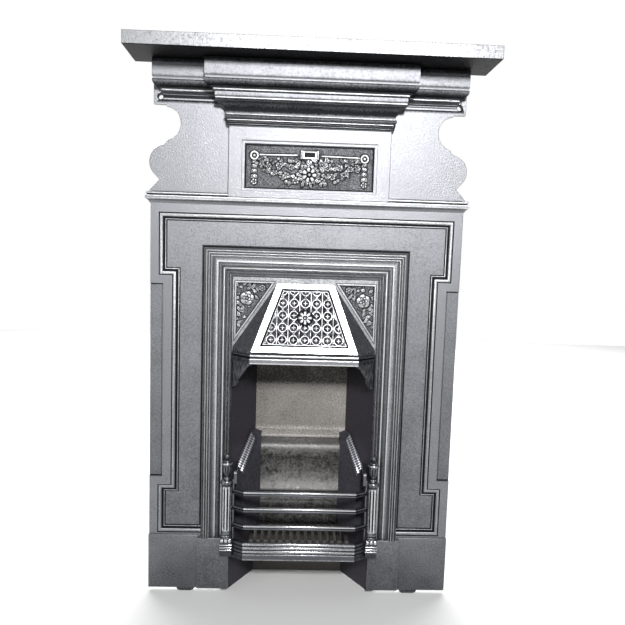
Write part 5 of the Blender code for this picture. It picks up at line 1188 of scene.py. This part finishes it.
# %% Side brick meshes
for s, name in ((1, "side_brick_right"), (-1, "side_brick_left")):
    block = Surfaces()
    corners = outline_right * (s, 1, 1)
    outer_edge = corners[0] + (corners[6] - corners[0]) * along
    inner_edge = corners[1] + (corners[2] - corners[1]) * along
    patch = outer_edge + (inner_edge - outer_edge) * over
    normal = np.cross(corners[6] - corners[0], corners[1] - corners[0])
    normal *= np.sign(normal[2]) / np.linalg.norm(normal)
    patch = patch + (0.0018 * rib)[..., None] * normal
    block.grid(patch, np.clip(0.95 * rib + 0.25 * (1 - field), 0, 1), (0, 0, 1))
    top = corners[[6, 2, 3, 4, 5]]
    block.take(top, [(0, 1, 2), (0, 2, 3), (0, 3, 4)], 0.45, (0, 0, 1))
    low = corners * (1, 1, 0) + (0, 0, BRICK_LOW)
    ring = list(range(7)) + [0]
    centre = corners.mean(axis=0)
    rows = np.linspace(0, 1, 9)[:, None]
    for a, b in zip(ring, ring[1:]):
        wall = [low[k] + (corners[k] - low[k]) * rows for k in (a, b)]
        middle = (corners[a] + corners[b]) / 2 - centre
        block.grid(np.stack(wall, axis=1), 0.30, (middle[0], middle[1], 0))
    block.take(low, flat_ring(low[:, :2]), 0.2, (0, 0, -1))
    finish_piece(name + "_cast", block, side_iron, [name], 40.0)

# %% [markdown]
# The shelf, the cheeks, the back plate and the grate are plain castings. Their own shapes from the
# frame are enough, so they only get a finish.

# %% Finishes of the plain plates
PLAIN_PLATES = (("mantel_shelf", shelf_iron), ("cheek_left", chamber_iron), ("cheek_right", chamber_iron),
                ("back_plate", fireback_iron), ("bottom_grate", grate_iron))
for name, metal in PLAIN_PLATES:
    for place in nodes[name].material_slots:
        place.material = metal
    print(name, "->", metal.name)

# %% [markdown]
# ## Front bars
# Three reeded bars and a moulded rail run between two fluted posts, and each post ends in an urn.
# Bars are swept like mouldings. Their canted ends are darker.

# %% Bars and rail
BAR_PATH = [(-0.1775, -0.0103), (-0.1408, -0.0355), (-0.140, -0.036), (0.140, -0.036), (0.1408, -0.0355),
            (0.1775, -0.0103)]
DIM_ENDS = np.array([0.35, 0.35, 1.0, 1.0, 0.35, 0.35])[:, None]
bars = Surfaces()
section = [(-8.0, -5.7), (-1.0, -5.7), (0.0, -4.4), (0.0, -1.6), (-1.5, -0.5), (-1.5, 0.5), (0.0, 1.6),
           (0.0, 4.4), (-1.0, 5.7), (-8.0, 5.7), (-8.0, -5.7)]
section = eased(section, 0.7, 1.6)
# painted light and shade: the upper half of each bar's section is made brighter, the lower darker
worn_and_shaded = proudness(section, 2.4, 0.7) + 0.30 * (section[:, 1] > 1) - 0.30 * (section[:, 1] < -1)
for middle in (0.2705, 0.2285, 0.1835):
    path = sweep(BAR_PATH, section * MM + (0, middle))
    bars.grid(path, np.clip(worn_and_shaded, 0, 1)[None] * DIM_ENDS)
    caps(bars, path[:, :-1])
rail = [(-8.0, 99.0), (0.0, 99.0), (1.0, 99.9), (1.0, 114.2), (0.2, 115.4), (-1.4, 116.6)]
for k in range(3):
    reed = 116.8 + 9.5 * k
    rail += hollow_curve(-0.8, reed + 4.6, 3.2, -4.4, 8, 172, 9) + [(-1.4, reed + 9.4)]
rail += [(-1.4, 145.5), (-8.0, 145.5), (-8.0, 99.0)]
rail = eased(rail, 0.5, 1.6)
path = sweep(BAR_PATH, rail * MM)
bars.grid(path, proudness(rail, 3.0, 0.7)[None] * DIM_ENDS)
caps(bars, path[:, :-1])
soft_box(bars, (-0.118, -0.030, 0.1280), (0.118, -0.014, 0.1335), 0.001, 0.2)
print("bars: 3, and a rail of", 145.5 - 99.0, "mm")

# %% [markdown]
# A post is turned on a lathe: a radius for every height and angle. The urn bulges in gadroons and
# the shaft is cut by nine flutes, both as a power of a cosine of the angle. Its foot is a block with
# three leaves and three reeds, and a scrolled lug hooks it to the opening.

# %% Profiles of a post
POST_X, POST_Y, POST_R = 0.184, -0.0125, 0.0122
SHAFT_TOP, SHAFT_FOOT = 0.2826, 0.1690
URN = [(0.0, 0.3670), (0.0028, 0.3664), (0.0050, 0.3640), (0.0057, 0.3605), (0.0048, 0.3570),
       (0.0032, 0.3548), (0.0030, 0.3524), (0.0060, 0.3508), (0.0088, 0.3486), (0.0100, 0.3458),
       (0.0138, 0.3446),
       (0.0146, 0.3420), (0.0138, 0.3396), (0.0108, 0.3384), (0.0116, 0.3340), (0.0114, 0.3280),
       (0.0104, 0.3220), (0.0084, 0.3165), (0.0062, 0.3125), (0.0050, 0.3094), (0.0056, 0.3074),
       (0.0080, 0.3062), (0.0080, 0.3034), (0.0098, 0.2996), (0.0150, 0.2982), (0.0160, 0.2958),
       (0.0160, 0.2912), (0.0146, 0.2884), (0.0130, 0.2868), (0.0128, 0.2840), (0.0122, SHAFT_TOP)]
POST_FOOT = [(0.0122, SHAFT_FOOT), (0.0126, 0.1668), (0.0134, 0.1646), (0.0134, 0.1608), (0.0118, 0.1590),
             (0.0136, 0.1572), (0.0142, 0.1545), (0.0140, 0.1505), (0.0, 0.1500)]
HOOK = [(-0.001, 0.290), (0.004, 0.286), (0.012, 0.298), (0.0485, 0.3270), (0.0490, 0.3345), (0.034, 0.3290),
        (0.016, 0.3240), (0.004, 0.3230), (-0.001, 0.3160), (-0.001, 0.290)]
lathe = eased(np.array(URN) / MM, 0.4, 1.2) * MM
base = eased(np.array(POST_FOOT) / MM, 0.4, 1.2) * MM
turnings = np.linspace(0, 2 * np.pi, 97)[:-1]
urn_height = URN[0][1] - SHAFT_TOP
print("post:", round(POST_R * 2 / MM, 1), "mm thick; urn:", round(urn_height / MM, 1), "mm high")


def turned(cx, radius, level):
    """Points of a lathe body: (cx + radius * cos, POST_Y + radius * sin, level)."""
    level = np.broadcast_to(level, radius.shape)
    return np.stack([cx + radius * np.cos(turnings), POST_Y + radius * np.sin(turnings), level], axis=2)


def within(level, low, high, blend):
    """1 between two heights, falling to 0 towards both over a blend."""
    return np.clip(np.minimum(level - low, high - level) / blend, 0, 1)

# %% [markdown]
# Both posts are the same work, mirrored: urn and foot from the lathe profiles, the fluted shaft
# between them, the leaf block with its reeds, a link behind the shaft and the scrolled lug.

# %% Posts, urns and lugs
for s in (1, -1):
    cx, cy = s * POST_X, POST_Y
    for profile, faces_up in ((lathe, 1), (base, 0)):
        r, level = profile[:, :1], profile[:, 1:]
        bulge = within(level, 0.3130, 0.3375, 0.004) + within(level, 0.2845, 0.2975, 0.002) * 0.5
        gadroon = bulge * np.maximum(0, np.cos(10 * turnings))[None] ** 0.7
        glow = proudness(profile[::-1] / MM, 2.6, 0.7)[::-1][:, None] - 0.55 * gadroon
        body = turned(cx, r - 0.0011 * gadroon, level)
        bars.grid(body, np.clip(glow, 0, 1), (0, 0, faces_up), closed=True)
    level = np.linspace(SHAFT_TOP, SHAFT_FOOT, 25)[:, None]
    ends = within(level, 0.1700, 0.2816, 0.006)
    flute = np.maximum(0, np.cos(9 * turnings + s * 0.6)) ** 0.7
    shaft = turned(cx, POST_R - 0.0016 * flute[None] * ends, level)
    bars.grid(shaft, np.clip(0.88 - 1.1 * flute[None] * ends, 0, 1), (0, 0, 0), closed=True)
    w = POST_R + 0.0022
    soft_box(bars, (cx - w, cy - 0.0140, 0.1040), (cx + w, -0.0094, 0.1515), 0.0012, 0.28)
    for k in (-1, 0, 1):
        middle = cx + k * 0.0096
        soft_box(bars, (middle - 0.0036, cy - 0.0158, 0.1402), (middle + 0.0036, -0.0097, 0.1498),
                 0.0020, 0.95)
    for low in (0.1318, 0.1252, 0.1186):
        soft_box(bars, (cx - w - 0.0010, cy - 0.0154, low), (cx + w + 0.0010, -0.0098, low + 0.0034),
                 0.0013, 0.95)
    lx = s * (POST_X - 0.0165)
    soft_box(bars, (lx - 0.0022, cy - 0.0020, 0.1090), (lx + 0.0022, cy + 0.0055, 0.3020), 0.0010, 0.45)
    hook = eased((np.array(HOOK) + (cy, 0)) / MM, 2.0, 3.0)[:-1] * MM
    hx = s * (POST_X - 0.0210)
    both = np.array([[(x, y, z) for y, z in hook] for x in (hx - 0.0035, hx + 0.0035)])
    bars.grid(both, 0.5, (0, 0, 0), closed=True)
    for skin, way in ((both[0], -1), (both[1], 1)):
        bars.take(skin, flat_ring(hook), 0.4, (way, 0, 0))
finish_piece("front_bars_cast", bars, bar_iron, ["front_bars"], 38.0, weld=False)

# %% [markdown]
# ## Stage, light and camera
# Metal shows what it mirrors. The floor is pale and the room is white behind the piece and grey
# behind the camera, so that the iron mirrors a darker room. Three lights complete it: a key in front,
# a fill from the left that opens the hood's shadow, and one behind that keeps the floor white.

# %% Stage
REACH = 6
floor_mesh = bpy.data.meshes.new("floor")
floor_mesh.from_pydata([(-REACH, -REACH, 0), (REACH, -REACH, 0), (REACH, REACH, 0), (-REACH, REACH, 0)],
                       [], [(0, 1, 2, 3)])
floor = bpy.data.objects.new("floor", floor_mesh)
bpy.context.scene.collection.objects.link(floor)
pale = bpy.data.materials.new("pale_floor")
pale.use_nodes = True
pale.node_tree.nodes["Principled BSDF"].inputs["Base Color"].default_value = linear("#f1f1f0")
pale.node_tree.nodes["Principled BSDF"].inputs["Roughness"].default_value = 0.9
floor_mesh.materials.append(pale)

world = bpy.data.worlds.new("soft_studio")
bpy.context.scene.world = world
world.use_nodes = True
sky = world.node_tree
towards = add(sky, "ShaderNodeSeparateXYZ", Vector=add(sky, "ShaderNodeTexCoord").outputs["Generated"])
grey_to_white = [(0.0, "#494b50"), (0.45, "#55575c"), (0.75, "#ffffff"), (1.0, "#ffffff")]
room = ramp(sky, towards.outputs["Y"], grey_to_white)
sky.links.new(room, sky.nodes["Background"].inputs["Color"])
sky.nodes["Background"].inputs["Strength"].default_value = 1.0
print("stage:", 2 * REACH, "m of floor")

# %% [markdown]
# Iron shows small lights as hard glints and large ones as broad sheens. The key is small and stands
# high in front, so that the arrises glint and the hood casts its shadow. The fill is large and weak.

# %% Lights
def softbox(name, place, target, width, height, power):
    """Rectangular area light at a place, facing a target."""
    lamp = bpy.data.lights.new(name, 'AREA')
    lamp.shape = 'RECTANGLE'
    lamp.size, lamp.size_y, lamp.energy = width, height, power
    item = bpy.data.objects.new(name, lamp)
    bpy.context.scene.collection.objects.link(item)
    aim = (Vector(target) - Vector(place)).to_track_quat('-Z', 'Y')
    item.matrix_world = Matrix.Translation(place) @ aim.to_matrix().to_4x4()
    print(name, round(power), "W at", place)


softbox("key", (0.30, -2.9, 1.98), (0.0, 0.0, 0.95), 0.45, 0.4, 103)
softbox("left_fill", (-2.6, -2.4, 1.3), (0.0, 0.0, 0.8), 1.2, 1.6, 22)
softbox("backdrop", (0.0, 3.6, 3.4), (0.0, 3.4, 0.0), 6.0, 4.0, 420)

# %% [markdown]
# The camera stands where the photographer stood: a little left of the middle, at chest height,
# turned and tipped down a little. Its place, turn and focal length were fitted to the corners of the
# shelf, the plate and the plinths in the photo.

# %% Camera
PHOTO = 625                       # px, width and height
FOCAL = 700                       # px
yaw, pitch, roll = math.radians(2.25), math.radians(6.63), math.radians(-1.77)
ahead = np.array([math.sin(yaw) * math.cos(pitch), math.cos(yaw) * math.cos(pitch), -math.sin(pitch)])
level_right = np.array([math.cos(yaw), -math.sin(yaw), 0.0])
level_down = np.cross(ahead, level_right)
right = math.cos(roll) * level_right + math.sin(roll) * level_down
below = -math.sin(roll) * level_right + math.cos(roll) * level_down
lens = bpy.data.cameras.new("camera")
lens.sensor_width = 36.0
lens.lens = 36.0 * FOCAL / PHOTO
lens.shift_y = 29.8 / PHOTO
lens.clip_start = 0.05
camera = bpy.data.objects.new("camera", lens)
bpy.context.scene.collection.objects.link(camera)
pose = np.eye(4)
pose[:3, 0], pose[:3, 1], pose[:3, 2] = right, -below, -ahead
pose[:3, 3] = (-0.0473, -1.7229 + FRAME_STEP, 0.8507)
camera.matrix_world = Matrix(pose.tolist())
bpy.context.scene.camera = camera
bpy.context.scene.view_settings.view_transform = 'Standard'
print("camera:", round(lens.lens, 1), "mm lens")
